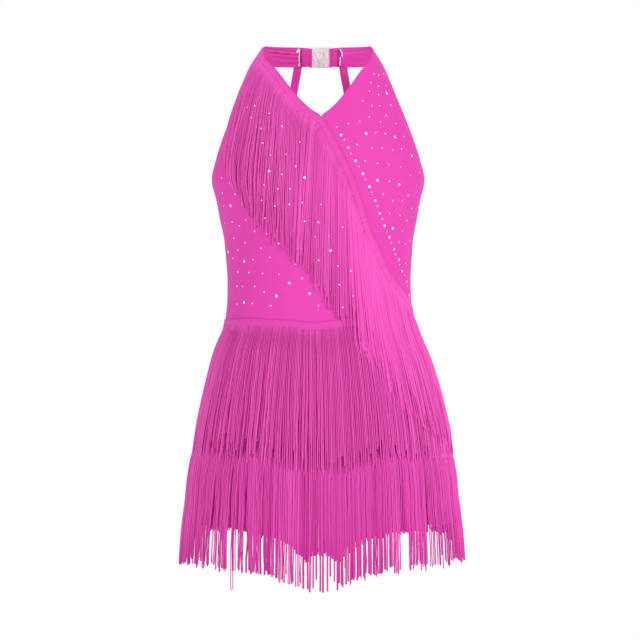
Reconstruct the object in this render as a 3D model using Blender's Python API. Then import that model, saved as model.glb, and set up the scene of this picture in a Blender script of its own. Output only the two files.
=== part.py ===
"""Latin dance dress: a halter leotard with boy-leg shorts, one diagonal fringe and two fringe tiers.

Metres, +Z up, the wearer faces -Y and the wearer's right is -X. The origin is the centre of the neck ring,
halfway up the neckband, where the garment hangs on its wearer.

Every piece is laid on one garment form, which tells where the outer face of the cloth is for an angle round
the body (0 at the centre front, 90 at the wearer's left side, 180 at the centre back) and a height. What lies
on a panel is made from the same points, moved out.
"""

import math
import random

import bmesh
import bpy
from mathutils import Vector

MM = 0.001

# Cloth and seams.
WALL = 1.5 * MM                # stretch cloth of the body, as a solid wall
BAND_WALL = 1.2 * MM           # doubled neckband
SEAM_GAP = 0.3 * MM            # between neighbouring pieces
SQUARENESS = 0.9               # under 1 makes the sections fuller than an ellipse
SIDE = 90.0                    # degrees, the side seams

# Heights, in mm from the middle of the neckband.
NECK_TOP = 12.0                # where the front panels start, at the side of the neck
NECK_V = -76.0                 # bottom of the V neck
V_ANGLE = 1.5                  # the V sits slightly to the wearer's left
DIAGONAL_FOOT = -312.0         # where the diagonal seam meets the left side seam
WAIST_SEAM = -333.0
BACK_TOP_SIDE = -154.0         # top edge of the back panel at the underarm
BACK_TOP_MIDDLE = -160.0
UNDER_HEADER = 2.0             # degrees from the header's edge to the seam that it hides
LEFT_FOOT_TURN = 1.5           # degrees that the left panel still has at its foot
SEAM_LAP = 6.0                 # from the left panel's foot to the first full row of the right one

# Between the legs the front and back fall in towards the crotch.
CROTCH_START = -500 * MM
CROTCH_DEPTH = 117 * MM
CROTCH_FALL = 47 * MM
CROTCH_CURVE = 1.7             # power of the fall, slow at first
CROTCH_WIDTH = 55 * MM
CROTCH_SHIFT = -4.8 * MM
CROTCH_ANGLE = -1.2
GUSSET_SAG = 2.0 * MM
HEM_EASE = 0.35                # how much closer the rows of the shorts lie towards the hem

# Neckband, fold and clasp, in mm.
BAND_TOP = 14.0
BAND_BOTTOM = -11.0
FOLD_TOP = 13.0
FOLD_BOTTOM = -9.5
FOLD_START = 27.0              # from the clasp's middle to where the band narrows
FLAP_END = 25.6                # where the folded-back end is tacked down
BAR_AT = 13.2                  # middle of the clasp's bar
BAR_DEPTH = 2.4                # and how far inside the band's outer face it lies
BAR_HALF = 0.7
FOLD_OUTSIDE = 2.4             # radii of the fold round the bar
FOLD_INSIDE = 1.2
CLASP_CENTRE = 4.0             # the clasp's middle, from the garment's centre line
CLASP_TOP = 14.4
CLASP_BOTTOM = -10.6
CLASP_EDGE = 10.4              # from the clasp's middle to the end of its ribbed plate
CLASP_ARM = 0.9                # height of the arms that carry the bar
CLASP_BACK = 3.4               # plate faces, from the band's outer face inwards
CLASP_FRONT = 1.4
CLASP_RIBS = 4                 # ribs on each half
RIB_HEIGHT = 0.4
RIB_PROFILE = ((0.0, 0.0), (0.3, RIB_HEIGHT), (0.6, RIB_HEIGHT), (0.9, 0.0))
CLASP_LAP = 3.0                # how far the loop half reaches over the hook half
LAP_MIDDLE = 2.4               # where the halves part, from the band's outer face inwards
LAP_GAP = 0.2                  # from there, and from the clasp's middle, to each half
LAP_STEP = 0.1                 # width of the step where a lap meets its plate

# Back straps, in mm.
STRAP_HALF = 5.2
STRAP_AT_BAND = 29.0           # from the clasp's middle to the strap, at the band and at the back panel
STRAP_AT_BACK = 59.0
STRAP_BELOW = 4.0              # how far it runs down past the back panel's top edge at the sides

# Fringe, in mm.
HEADER_HEIGHT = 9.0            # woven tape that the strands hang from
HEADER_INNER = 0.3
HEADER_OUTER = 1.5
HEADER_INSET = 0.4             # from the neckline or seam to the diagonal header
STRAND_THICK = 1.7
STRAND_EASE = 12               # a strand is off the header by one part in this many of its length
STRAND_SHARE = 0.66            # width of a strand as a share of the space for one
RAGGED = 0.03                  # how unevenly the strands end
RING_SPACING = 1.15            # power that sets the rings of a strand closer near its root
WAIST_TAPE_TOP = -327.5
LOWER_TAPE_TOP = -460.0
TIER_GAP = 0.3                 # degrees from the side seam to the end of each half tier

CLOTH_PINK = (0.86, 0.075, 0.50, 1.0)
FRINGE_PINK = (0.70, 0.055, 0.36, 1.0)
CLEAR_PLASTIC = (0.85, 0.85, 0.87, 1.0)


class Table:
    """Rows of numbers under named columns, read smoothly between the rows and never past their values."""

    def __init__(self, columns, rows):
        self.columns = columns
        self.rows = sorted(rows)
        self.keys = [row[0] for row in self.rows]

    def slope(self, row, column):
        last = len(self.rows) - 1
        if row in (0, last):
            start, end = self.rows[min(row, last - 1)], self.rows[max(row, 1)]
            return (end[column] - start[column]) / (end[0] - start[0])
        below, here, above = self.rows[row - 1], self.rows[row], self.rows[row + 1]
        rise_in = (here[column] - below[column]) / (here[0] - below[0])
        rise_out = (above[column] - here[column]) / (above[0] - here[0])
        if rise_in * rise_out <= 0:
            return 0.0
        return 2 * rise_in * rise_out / (rise_in + rise_out)

    def at(self, key, name):
        column = self.columns.index(name)
        key = min(max(key, self.keys[0]), self.keys[-1])
        row = 0
        while row < len(self.keys) - 2 and key > self.keys[row + 1]:
            row += 1
        low, high = self.rows[row], self.rows[row + 1]
        span = high[0] - low[0]
        t = (key - low[0]) / span
        m0 = self.slope(row, column) * span
        m1 = self.slope(row + 1, column) * span
        return (
            (2 * t**3 - 3 * t**2 + 1) * low[column]
            + (t**3 - 2 * t**2 + t) * m0
            + (3 * t**2 - 2 * t**3) * high[column]
            + (t**3 - t**2) * m1
        )


# The filled-out garment: sections of the cloth's outer face, in mm. It hangs a little out of plumb.
SECTIONS = Table(
    ("z", "centre_x", "half_width", "middle_y", "front_y", "back_y"),
    [
        (14, -3.0, 66, 0, -50, 50),
        (-12, -3.0, 82, -6, -62, 57),
        (-29, -3.0, 89.5, -10, -69, 64),
        (-54, -2.8, 99.5, -15, -77, 72),
        (-79, -2.7, 109.5, -18, -85, 79),
        (-104, -2.6, 119, -17, -92, 84),
        (-129, -2.5, 127, -11, -98, 87),
        (-154, -2.4, 132.5, -2, -102, 89),
        (-179, -2.2, 127, 0, -103, 87),
        (-204, -2.0, 122.5, 0, -100, 83),
        (-229, -1.7, 117.5, 0, -95, 78),
        (-254, -1.5, 115.5, 0, -91, 74),
        (-279, -1.2, 114, 0, -88, 72),
        (-304, -1.0, 114.5, 0, -87, 74),
        (-329, -0.6, 117.5, 0, -89, 80),
        (-379, 0.9, 129, 0, -95, 95),
        (-429, 2.0, 140, 0, -100, 105),
        (-479, 2.4, 148, 0, -101, 108),
        (-529, 2.5, 153, 0, -98, 103),
        (-579, 2.5, 155, 0, -92, 94),
        (-640, 2.5, 154, 0, -84, 84),
    ],
)

# The diagonal fringe: its path from the right side of the neck along the neckline to the V, then across the
# front to the left side seam, and where the strand from each place on it ends. Degrees and mm.
DIAGONAL = Table(
    ("z", "angle", "end_angle", "end_z"),
    [
        (12, -88, -64, -128),
        (5, -70, -60, -136),
        (-3, -55, -50, -165),
        (-17.5, -35, -39, -199),
        (-40, -19, -29, -224),
        (-56, -10, -17, -242),
        (-66, -4.4, -12.5, -251),
        (-76, 1.5, -8, -260),
        (-108, 9, 1, -295),
        (-151, 17, 14, -336),
        (-188, 24, 23.5, -376),
        (-214, 29.5, 30.5, -403),
        (-241, 38, 38, -427),
        (-270, 48, 48, -450),
        (-291, 63, 62, -468),
        (-306, 77, 78, -482),
        (-313, 88, 88, -490),
    ],
)

# Leg openings and crotch: height of the shorts' lower edge, by degrees from the crotch.
HEM = Table(
    ("angle", "z"),
    [
        (0, -616.5),
        (3, -617),
        (5, -626),
        (8.5, -617),
        (12, -608),
        (18, -600),
        (26, -595.5),
        (41, -588),
        (58, -583),
        (74, -581),
        (90, -580),
    ],
)

# Free ends of the two tiers, by degrees from the centre front.
TIER_ENDS = Table(
    ("angle", "waist", "lower"),
    [
        (0, -517, -662),
        (7, -517, -655),
        (15, -511, -645),
        (28, -504, -637),
        (50, -503, -631),
        (70, -499, -627),
        (90, -497, -624),
        (100, -497, -613),
        (115, -498, -598),
        (140, -500, -591),
        (180, -501, -590),
    ],
)

# How far the outer side of each fringe stands off the cloth, in mm.
STAND_OFF = Table(
    ("z", "waist", "lower", "diagonal"),
    [
        (14, 2.0, 2.0, 2.6),
        (-60, 2.0, 2.0, 3.4),
        (-110, 2.0, 2.0, 4.4),
        (-154, 2.0, 2.0, 6.0),
        (-200, 2.0, 2.0, 5.2),
        (-260, 2.0, 2.0, 4.4),
        (-300, 2.0, 2.0, 4.6),
        (-326, 2.0, 2.0, 5.8),
        (-340, 3.0, 2.0, 7.0),
        (-354, 5.5, 2.0, 9.0),
        (-379, 9.0, 2.0, 12.4),
        (-404, 10.0, 2.0, 13.4),
        (-454, 12.0, 2.0, 15.4),
        (-470, 12.7, 2.2, 16.2),
        (-504, 14.0, 8.0, 17.6),
        (-521, 15.0, 11.0, 18.6),
        (-554, 17.0, 17.0, 20.6),
        (-579, 20.0, 20.0, 23.6),
        (-604, 23.0, 23.0, 26.6),
        (-664, 28.0, 28.0, 31.6),
    ],
)


def form_point(angle, z, has_legs=True):
    """The cloth's outer face at an angle in degrees and a height in metres; a skirt has no legs in it."""
    sine, cosine = math.sin(math.radians(angle)), math.cos(math.radians(angle))
    centre = SECTIONS.at(z / MM, "centre_x") * MM
    half = SECTIONS.at(z / MM, "half_width") * MM
    middle = SECTIONS.at(z / MM, "middle_y") * MM
    reach = SECTIONS.at(z / MM, "front_y" if cosine >= 0 else "back_y") * MM - middle
    across = half * math.copysign(abs(sine) ** SQUARENESS, sine)
    depth = reach * abs(cosine) ** SQUARENESS
    if has_legs and z < CROTCH_START:
        fall = CROTCH_FALL * ((CROTCH_START - z) / CROTCH_DEPTH) ** CROTCH_CURVE
        near = math.exp(-(((across - CROTCH_SHIFT) / CROTCH_WIDTH) ** 2))
        depth -= math.copysign(min(fall, abs(depth)) * near, depth)
    return Vector((centre + across, middle + depth, z))


def on_form(angle, z, out=0.0, has_legs=True):
    """A point that lies a distance in metres outside the cloth's outer face (inside it if negative)."""
    turn, climb = 0.5, 1.0 * MM
    round_form = form_point(angle + turn, z, has_legs) - form_point(angle - turn, z, has_legs)
    up_form = form_point(angle, z + climb, has_legs) - form_point(angle, z - climb, has_legs)
    return form_point(angle, z, has_legs) + round_form.cross(up_form).normalized() * out


def back_angle(across, z):
    """Angle of the point on the back that lies a distance in metres from the centre line."""
    share = min(abs(across) / (SECTIONS.at(z / MM, "half_width") * MM), 1.0)
    turn = math.degrees(math.asin(share ** (1 / SQUARENESS)))
    return SIDE * 2 - math.copysign(turn, across)


def slide(angle, z, move):
    """The angle and height reached from a point of the form by a move in metres along its face."""
    turn, climb = 0.5, 1.0 * MM
    per_degree = (form_point(angle + turn, z) - form_point(angle - turn, z)) / (2 * turn)
    per_metre = (form_point(angle, z + climb) - form_point(angle, z - climb)) / (2 * climb)
    a, b, c = per_degree.dot(per_degree), per_degree.dot(per_metre), per_metre.dot(per_metre)
    p, q = per_degree.dot(move), per_metre.dot(move)
    spread = a * c - b * b
    return angle + (p * c - q * b) / spread, z + (a * q - b * p) / spread


def evenly(first, last, count):
    """Numbers from first to last, count of them, evenly spaced."""
    return [first + (last - first) * i / (count - 1) for i in range(count)]


def gap_angle(angle, z, distance):
    """Degrees that a distance in metres takes round the form."""
    return distance / (form_point(angle + 0.5, z) - form_point(angle - 0.5, z)).length


def make_material(name, colour, roughness, clear=0.0):
    material = bpy.data.materials.new(name)
    material.use_nodes = True
    shader = material.node_tree.nodes["Principled BSDF"]
    shader.inputs["Base Color"].default_value = colour
    shader.inputs["Roughness"].default_value = roughness
    shader.inputs["Metallic"].default_value = 0.0
    shader.inputs["Transmission Weight"].default_value = clear
    return material


def add_object(name, shape, material):
    """Turns a bmesh into a named object with its faces pointing out."""
    bmesh.ops.recalc_face_normals(shape, faces=shape.faces)
    mesh = bpy.data.meshes.new(name)
    shape.to_mesh(mesh)
    shape.free()
    mesh.materials.append(material)
    mesh.shade_smooth()
    mesh.set_sharp_from_angle(angle=math.radians(40))
    piece = bpy.data.objects.new(name, mesh)
    bpy.context.scene.collection.objects.link(piece)
    return piece


def make_wall(name, outer, inner, material, is_hole=lambda row, column: False):
    """A closed wall between two grids of points of the same size, with rims at its edges and holes."""
    shape = bmesh.new()
    rows, columns = len(outer), len(outer[0])
    cells = [(r, c) for r in range(rows - 1) for c in range(columns - 1) if not is_hole(r, c)]
    used = {(r + i, c + j) for r, c in cells for i in (0, 1) for j in (0, 1)}
    out_vert = {(r, c): shape.verts.new(outer[r][c]) for r, c in sorted(used)}
    in_vert = {(r, c): shape.verts.new(inner[r][c]) for r, c in sorted(used)}
    for r, c in cells:
        corners = [(r, c), (r, c + 1), (r + 1, c + 1), (r + 1, c)]
        shape.faces.new([out_vert[k] for k in corners])
        shape.faces.new([in_vert[k] for k in reversed(corners)])
        beyond = [(r - 1, c), (r, c + 1), (r + 1, c), (r, c - 1)]
        for side, neighbour in enumerate(beyond):
            if neighbour not in cells:
                a, b = corners[side], corners[(side + 1) % 4]
                shape.faces.new((out_vert[b], out_vert[a], in_vert[a], in_vert[b]))
    return add_object(name, shape, material)


def cloth_wall(name, rows, material, thick=WALL):
    """A cloth piece from rows of (angle, height in metres), with its outer side on the form."""
    outer = [[on_form(angle, z) for angle, z in row] for row in rows]
    inner = [[on_form(angle, z, -thick) for angle, z in row] for row in rows]
    return make_wall(name, outer, inner, material)


# ---- Bodice ----

def front_heights():
    """Heights of the rows that both front panels share, so that their seam edges follow each other."""
    neck = evenly(NECK_TOP, NECK_V, 10)
    diagonal = evenly(NECK_V, DIAGONAL_FOOT, 17)[1:]
    return neck + diagonal


def seam_angle(z_mm):
    """Where the neckline or, below the V, the seam under the diagonal header runs."""
    path = DIAGONAL.at(z_mm, "angle")
    return path if z_mm > NECK_V else path - UNDER_HEADER


def make_front_panels(material):
    """The right panel lies under the diagonal fringe and takes the whole waist; the left one is smooth."""
    half_gap = SEAM_GAP / 2
    right_rows, left_rows = [], []
    for z_mm in front_heights():
        z = z_mm * MM
        seam = seam_angle(z_mm)
        mirrored = 2 * V_ANGLE - seam if z_mm > NECK_V else seam
        side_gap = gap_angle(SIDE, z, half_gap)
        seam_gap = gap_angle(seam, z, half_gap)
        right_rows.append([(a, z) for a in evenly(side_gap - SIDE, seam - seam_gap, 10)])
        left_start = min(mirrored + seam_gap, SIDE - LEFT_FOOT_TURN)
        left_rows.append([(a, z) for a in evenly(left_start, SIDE - side_gap, 10)])
    last_gap = gap_angle(SIDE, WAIST_SEAM * MM, half_gap)
    for z_mm in (DIAGONAL_FOOT - SEAM_LAP, WAIST_SEAM):
        z = z_mm * MM
        right_rows.append([(a, z) for a in evenly(last_gap - SIDE, SIDE - last_gap, 10)])
    left_rows[-1] = [(angle, z + SEAM_GAP) for angle, z in left_rows[-1]]
    cloth_wall("front_right", right_rows, material)
    cloth_wall("front_left", left_rows, material)


def make_back_panel(material):
    """Back panel from the underarms down; the back is open above it."""
    gap = gap_angle(SIDE, BACK_TOP_SIDE * MM, SEAM_GAP / 2)
    angles = evenly(SIDE + gap, 3 * SIDE - gap, 19)
    rows = []
    for share in evenly(0.0, 1.0, 12):
        row = []
        for angle in angles:
            dip = math.cos(math.radians(angle - 2 * SIDE)) ** 2
            top = BACK_TOP_SIDE + (BACK_TOP_MIDDLE - BACK_TOP_SIDE) * dip
            row.append((angle, (top + (WAIST_SEAM - top) * share) * MM))
        rows.append(row)
    cloth_wall("back_bodice", rows, material)


# ---- Neckband, clasp and back straps ----

def back_point(across_mm, z_mm, out_mm):
    """A point near the clasp: across from the clasp's middle, up, and out from the band's outer face."""
    z = z_mm * MM
    return on_form(back_angle((across_mm + CLASP_CENTRE) * MM, z), z, out_mm * MM)


def fold_columns():
    """The band's end round the clasp's bar: (outer across, outer out, inner across, inner out), in mm."""
    columns = []
    for turn in evenly(90.0, -90.0, 9):
        cosine, sine = math.cos(math.radians(turn)), math.sin(math.radians(turn))
        columns.append(
            (
                BAR_AT - FOLD_OUTSIDE * cosine,
                FOLD_OUTSIDE * sine - BAR_DEPTH,
                BAR_AT - FOLD_INSIDE * cosine,
                FOLD_INSIDE * sine - BAR_DEPTH,
            )
        )
    wall = BAND_WALL / MM
    tacked = -2 * wall - SEAM_GAP / MM
    for across in (19.0, 22.0, FLAP_END):
        columns.append((across, tacked, across, tacked + wall))
    return columns


def make_neckband(name, side, material):
    """Half of the neckband, from the side of the neck to the clasp, with its end folded round the bar."""
    outer, inner = [], []
    for share in (0.0, 0.5, 1.0):
        full = BAND_BOTTOM + (BAND_TOP - BAND_BOTTOM) * share
        narrow = FOLD_BOTTOM + (FOLD_TOP - FOLD_BOTTOM) * share
        z = full * MM
        start = SIDE + gap_angle(SIDE, z, SEAM_GAP)
        stop = back_angle((FOLD_START * side + CLASP_CENTRE) * MM, z)
        stop = stop if side > 0 else 4 * SIDE - stop
        outer_row, inner_row = [], []
        for angle in evenly(start, stop, 13):
            outer_row.append(on_form(angle * side, z))
            inner_row.append(on_form(angle * side, z, -BAND_WALL))
        for out_across, out_out, in_across, in_out in fold_columns():
            outer_row.append(back_point(out_across * side, narrow, out_out))
            inner_row.append(back_point(in_across * side, narrow, in_out))
        outer.append(outer_row)
        inner.append(inner_row)
    make_wall(name, outer, inner, material)


def clasp_columns(has_hook):
    """Plate columns from lap to bar: (across, inner out, outer out), in mm from the clasp's middle."""
    if has_hook:
        lap = (-CLASP_BACK, -LAP_MIDDLE - LAP_GAP)
        lap_start, lap_end = -CLASP_LAP, LAP_GAP
    else:
        lap = (-LAP_MIDDLE + LAP_GAP, -CLASP_FRONT)
        lap_start, lap_end = -LAP_STEP, CLASP_LAP + LAP_GAP
    columns = [(lap_start, *lap), (lap_end, *lap)]
    first = lap_end + LAP_STEP
    for rib in range(CLASP_RIBS):
        for part, height in RIB_PROFILE:
            across = first + (CLASP_EDGE - first) * (rib + part) / CLASP_RIBS
            columns.append((across, -CLASP_BACK - height, -CLASP_FRONT + height))
    columns.append((CLASP_EDGE, -CLASP_BACK, -CLASP_FRONT))
    columns.append((BAR_AT - BAR_HALF, -BAR_DEPTH - BAR_HALF, -BAR_DEPTH + BAR_HALF))
    columns.append((BAR_AT + BAR_HALF, -BAR_DEPTH - BAR_HALF, -BAR_DEPTH + BAR_HALF))
    return columns


def make_clasp_half(name, side, has_hook, material):
    """Ribbed clear plate with a slot, through which the folded band passes, and a bar that the fold holds."""
    columns = clasp_columns(has_hook)
    heights = [CLASP_BOTTOM, CLASP_BOTTOM + CLASP_ARM, CLASP_TOP - CLASP_ARM, CLASP_TOP]
    outer = [[back_point(across * side, z, out) for across, _, out in columns] for z in heights]
    inner = [[back_point(across * side, z, back) for across, back, _ in columns] for z in heights]
    slot = len(columns) - 3
    make_wall(name, outer, inner, material, lambda row, column: row == 1 and column == slot)


def make_back_strap(name, side, material):
    """Strap from the neckband's lower edge out to the top edge of the back panel."""
    rows = []
    top = BAND_BOTTOM - 2 * SEAM_GAP / MM
    bottom = BACK_TOP_SIDE - STRAP_BELOW
    for share in evenly(0.0, 1.0, 12):
        z = (top + (bottom - top) * share) * MM
        middle = CLASP_CENTRE + (STRAP_AT_BAND + (STRAP_AT_BACK - STRAP_AT_BAND) * share) * side
        edges = [(middle - STRAP_HALF) * MM, (middle + STRAP_HALF) * MM]
        rows.append([(back_angle(across, z), z) for across in edges])
    cloth_wall(name, rows, material)


# ---- Shorts ----

def leg_columns(side, is_back):
    """(angle, hem height in mm) for each column of a shorts panel, from the crotch seam to the side seam."""
    columns = []
    for base, hem in HEM.rows:
        angle = base * side + CROTCH_ANGLE * (1 - base / SIDE)
        columns.append([angle, hem])
    crotch_gap = gap_angle(0, CROTCH_START, SEAM_GAP / 2)
    side_gap = gap_angle(SIDE, CROTCH_START, SEAM_GAP / 2)
    columns[0][0] += crotch_gap * side
    columns[-1][0] -= side_gap * side
    if is_back:
        columns = [[2 * SIDE - angle, hem] for angle, hem in columns]
    return columns


def make_shorts_panel(name, side, is_back, material):
    rows = []
    top = WAIST_SEAM * MM - SEAM_GAP
    for share in evenly(0.0, 1.0, 13):
        eased = share * (1 + HEM_EASE - HEM_EASE * share)
        rows.append([(a, top + (hem * MM - top) * eased) for a, hem in leg_columns(side, is_back)])
    cloth_wall(name, rows, material)


def make_gusset(material):
    """Crotch piece between the legs, arched like the lower edges that it joins."""
    outer, inner = [], []
    start = WALL + 2 * SEAM_GAP
    for share in evenly(0.0, 1.0, 9):
        outer_row, inner_row = [], []
        for base in (-5, -3, 0, 3, 5):
            hem = HEM.at(abs(base), "z") * MM
            angle = base + CROTCH_ANGLE
            front, back = form_point(angle, hem), form_point(2 * SIDE - angle, hem)
            front.y += start
            back.y -= start
            point = front.lerp(back, share)
            point.z -= GUSSET_SAG * math.sin(math.pi * share)
            outer_row.append(point)
            inner_row.append(point + Vector((0, 0, WALL)))
        outer.append(outer_row)
        inner.append(inner_row)
    make_wall("gusset", outer, inner, material)


# ---- Fringe ----

def make_comb(name, count, place, stand_off, material, segments, seed):
    """A header strip and its hanging strands, all in one body.

    place(position, row, drop) tells (angle, height): position runs 0 to 1 along the header, row is "top" for
    its upper edge, and drop runs 0 to 1 from its lower edge to a strand's free end. stand_off(z) is the
    distance in metres from the cloth to a strand's outer side.
    """
    shape = bmesh.new()
    uneven = random.Random(seed)
    bounds = [0.0]
    for strand in range(count):
        margin = (1 - STRAND_SHARE) / 2
        bounds += [(strand + margin) / count, (strand + 1 - margin) / count]
    bounds.append(1.0)

    def vertex(position, row, drop, out):
        return shape.verts.new(on_form(*place(position, row, drop), out, has_legs=False))

    def ring_vertex(position, drop, inner_side):
        angle, z = place(position, "strand", drop)
        reach = min(drop * STRAND_EASE, 1.0)
        outer = HEADER_OUTER * MM + (stand_off(z) - HEADER_OUTER * MM) * reach
        thick = (HEADER_OUTER - HEADER_INNER + (STRAND_THICK - HEADER_OUTER + HEADER_INNER) * reach) * MM
        out = outer - thick if inner_side else outer
        return shape.verts.new(on_form(angle, z, out, has_legs=False))

    strip = []
    for position in bounds:
        strip.append(
            [
                vertex(position, "top", 0, HEADER_OUTER * MM),
                vertex(position, "top", 0, HEADER_INNER * MM),
                vertex(position, "strand", 0, HEADER_INNER * MM),
                vertex(position, "strand", 0, HEADER_OUTER * MM),
            ]
        )
    shape.faces.new(strip[0])
    shape.faces.new(reversed(strip[-1]))
    for cell in range(len(bounds) - 1):
        left, right = strip[cell], strip[cell + 1]
        for edge in (0, 1, 3):
            after = (edge + 1) % 4
            shape.faces.new((left[edge], right[edge], right[after], left[after]))
        if cell % 2 == 0:
            shape.faces.new((left[2], right[2], right[3], left[3]))
            continue
        ring = [left[2], right[2], right[3], left[3]]
        length = 1.0 + uneven.uniform(-RAGGED, RAGGED)
        for step in range(1, segments + 1):
            drop = length * (step / segments) ** RING_SPACING
            below = [
                ring_vertex(bounds[cell], drop, True),
                ring_vertex(bounds[cell + 1], drop, True),
                ring_vertex(bounds[cell + 1], drop, False),
                ring_vertex(bounds[cell], drop, False),
            ]
            for corner in range(4):
                after = (corner + 1) % 4
                shape.faces.new((ring[corner], ring[after], below[after], below[corner]))
            ring = below
        shape.faces.new(ring)
    return add_object(name, shape, material)


def by_length(values, point_at, name):
    """A table that reads one value by position along a line, where position runs 0 to 1 evenly by length."""
    points = [point_at(value) for value in values]
    run = [0.0]
    for before, after in zip(points, points[1:]):
        run.append(run[-1] + (after - before).length)
    return Table(("position", name), [(r / run[-1], value) for r, value in zip(run, values)])


def make_diagonal_fringe(material):
    def path_point(z):
        return form_point(DIAGONAL.at(z, "angle"), z * MM)

    heights = evenly(DIAGONAL.keys[-1], DIAGONAL.keys[0], 90)
    path = by_length(heights, path_point, "z")
    nearby = 0.01

    def place(position, row, drop):
        z = path.at(position, "z")
        angle = DIAGONAL.at(z, "angle")
        ahead = path_point(path.at(min(position + nearby, 1), "z"))
        behind = path_point(path.at(max(position - nearby, 0), "z"))
        normal = on_form(angle, z * MM, 1.0) - on_form(angle, z * MM)
        down = (ahead - behind).cross(normal).normalized()
        if row == "top":
            return slide(angle, z * MM, down * HEADER_INSET * MM)
        foot = slide(angle, z * MM, down * HEADER_HEIGHT * MM)
        end_angle = DIAGONAL.at(z, "end_angle")
        end_z = DIAGONAL.at(z, "end_z") * MM
        return foot[0] + (end_angle - foot[0]) * drop, foot[1] + (end_z - foot[1]) * drop

    def stand_off(z):
        return STAND_OFF.at(z / MM, "diagonal") * MM

    make_comb("fringe_diagonal", 54, place, stand_off, material, 6, 3)


def make_tier(name, tier, tape_top, first_angle, last_angle, count, material, seed):
    """One half of a fringe tier that goes round the body, hanging from a level tape."""
    angles = evenly(first_angle, last_angle, 60)
    spacing = by_length(angles, lambda angle: form_point(angle, tape_top * MM), "angle")

    def place(position, row, drop):
        angle = spacing.at(position, "angle")
        if row == "top":
            return angle, tape_top * MM
        foot = (tape_top - HEADER_HEIGHT) * MM
        around = abs((angle + 2 * SIDE) % (4 * SIDE) - 2 * SIDE)
        end = TIER_ENDS.at(around, tier) * MM
        return angle, foot + (end - foot) * drop

    def stand_off(z):
        return STAND_OFF.at(z / MM, tier) * MM

    make_comb(name, count, place, stand_off, material, 4, seed)


def build():
    for piece in list(bpy.data.objects):
        bpy.data.objects.remove(piece, do_unlink=True)
    cloth = make_material("stretch_cloth", CLOTH_PINK, 0.6)
    fringe = make_material("chainette_fringe", FRINGE_PINK, 0.75)
    plastic = make_material("clear_plastic", CLEAR_PLASTIC, 0.2, 0.7)

    make_front_panels(cloth)
    make_back_panel(cloth)
    for name, side in (("right", -1), ("left", 1)):
        make_neckband("neckband_" + name, side, cloth)
        make_back_strap("back_strap_" + name, side, cloth)
        make_shorts_panel("shorts_front_" + name, side, False, cloth)
        make_shorts_panel("shorts_back_" + name, side, True, cloth)
    make_clasp_half("clasp_hook", -1, True, plastic)
    make_clasp_half("clasp_loop", 1, False, plastic)
    make_gusset(cloth)

    make_diagonal_fringe(fringe)
    for half, first, last, waist_count, lower_count in (
        ("front", TIER_GAP - SIDE, SIDE - TIER_GAP, 34, 36),
        ("back", SIDE + TIER_GAP, 3 * SIDE - TIER_GAP, 30, 30),
    ):
        make_tier("fringe_waist_" + half, "waist", WAIST_TAPE_TOP, first, last, waist_count, fringe, 11)
        make_tier("fringe_lower_" + half, "lower", LOWER_TAPE_TOP, first, last, lower_count, fringe, 12)


build()
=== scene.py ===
import math

import bpy
import numpy as np
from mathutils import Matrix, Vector


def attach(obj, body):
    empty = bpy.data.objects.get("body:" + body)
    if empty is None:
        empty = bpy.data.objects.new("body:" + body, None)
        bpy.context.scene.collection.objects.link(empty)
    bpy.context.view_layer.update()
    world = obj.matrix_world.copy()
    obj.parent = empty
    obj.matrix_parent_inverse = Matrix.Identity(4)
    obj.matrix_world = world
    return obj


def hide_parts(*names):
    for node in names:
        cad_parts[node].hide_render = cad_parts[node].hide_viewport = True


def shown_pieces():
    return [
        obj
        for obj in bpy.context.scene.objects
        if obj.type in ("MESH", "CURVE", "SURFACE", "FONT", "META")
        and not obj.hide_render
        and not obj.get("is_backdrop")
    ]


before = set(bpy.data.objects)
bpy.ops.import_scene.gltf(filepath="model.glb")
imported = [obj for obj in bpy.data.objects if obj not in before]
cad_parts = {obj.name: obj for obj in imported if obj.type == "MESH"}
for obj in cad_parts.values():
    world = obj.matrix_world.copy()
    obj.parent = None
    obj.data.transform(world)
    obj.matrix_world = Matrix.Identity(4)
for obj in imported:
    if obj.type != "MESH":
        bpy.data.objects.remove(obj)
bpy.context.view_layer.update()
print("frame loaded:", len(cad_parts), "nodes")

mm = 0.001
root = "root"


# small helpers
def clearSelection():
    if bpy.context.object and bpy.context.object.mode != "OBJECT":
        bpy.ops.object.mode_set(mode="OBJECT")
    bpy.ops.object.select_all(action="DESELECT")


def selectOnly(piece):
    clearSelection()
    piece.select_set(True)
    bpy.context.view_layer.objects.active = piece


def takePiece(name):
    piece = bpy.context.object
    piece.name = name
    piece.data.name = name
    return piece


def bringIn(name, data):
    piece = bpy.data.objects.new(name, data)
    bpy.context.scene.collection.objects.link(piece)
    return piece


def finishPiece(piece, finish, sharpAngle=40.0):
    piece.data.materials.clear()
    piece.data.materials.append(finish)
    selectOnly(piece)
    bpy.ops.object.shade_smooth_by_angle(angle=math.radians(sharpAngle))
    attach(piece, root)


def applyModifiers(piece):
    selectOnly(piece)
    for modifier in list(piece.modifiers):
        bpy.ops.object.modifier_apply(modifier=modifier.name)


def smoothTable(columns, rows):
    # rows of numbers under named columns, read later by the first one
    values = np.array(sorted(rows), float)
    keys = values[:, 0]
    rise = np.diff(values, axis=0) / np.diff(keys)[:, None]
    slopes = np.empty_like(values)
    slopes[0], slopes[-1] = rise[0], rise[-1]
    product, total = rise[:-1] * rise[1:], rise[:-1] + rise[1:]
    steady = product > 0
    slopes[1:-1] = np.where(steady, 2 * product / np.where(steady, total, 1), 0)
    return dict(columns=columns.split(), keys=keys, values=values, slopes=slopes)


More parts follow.
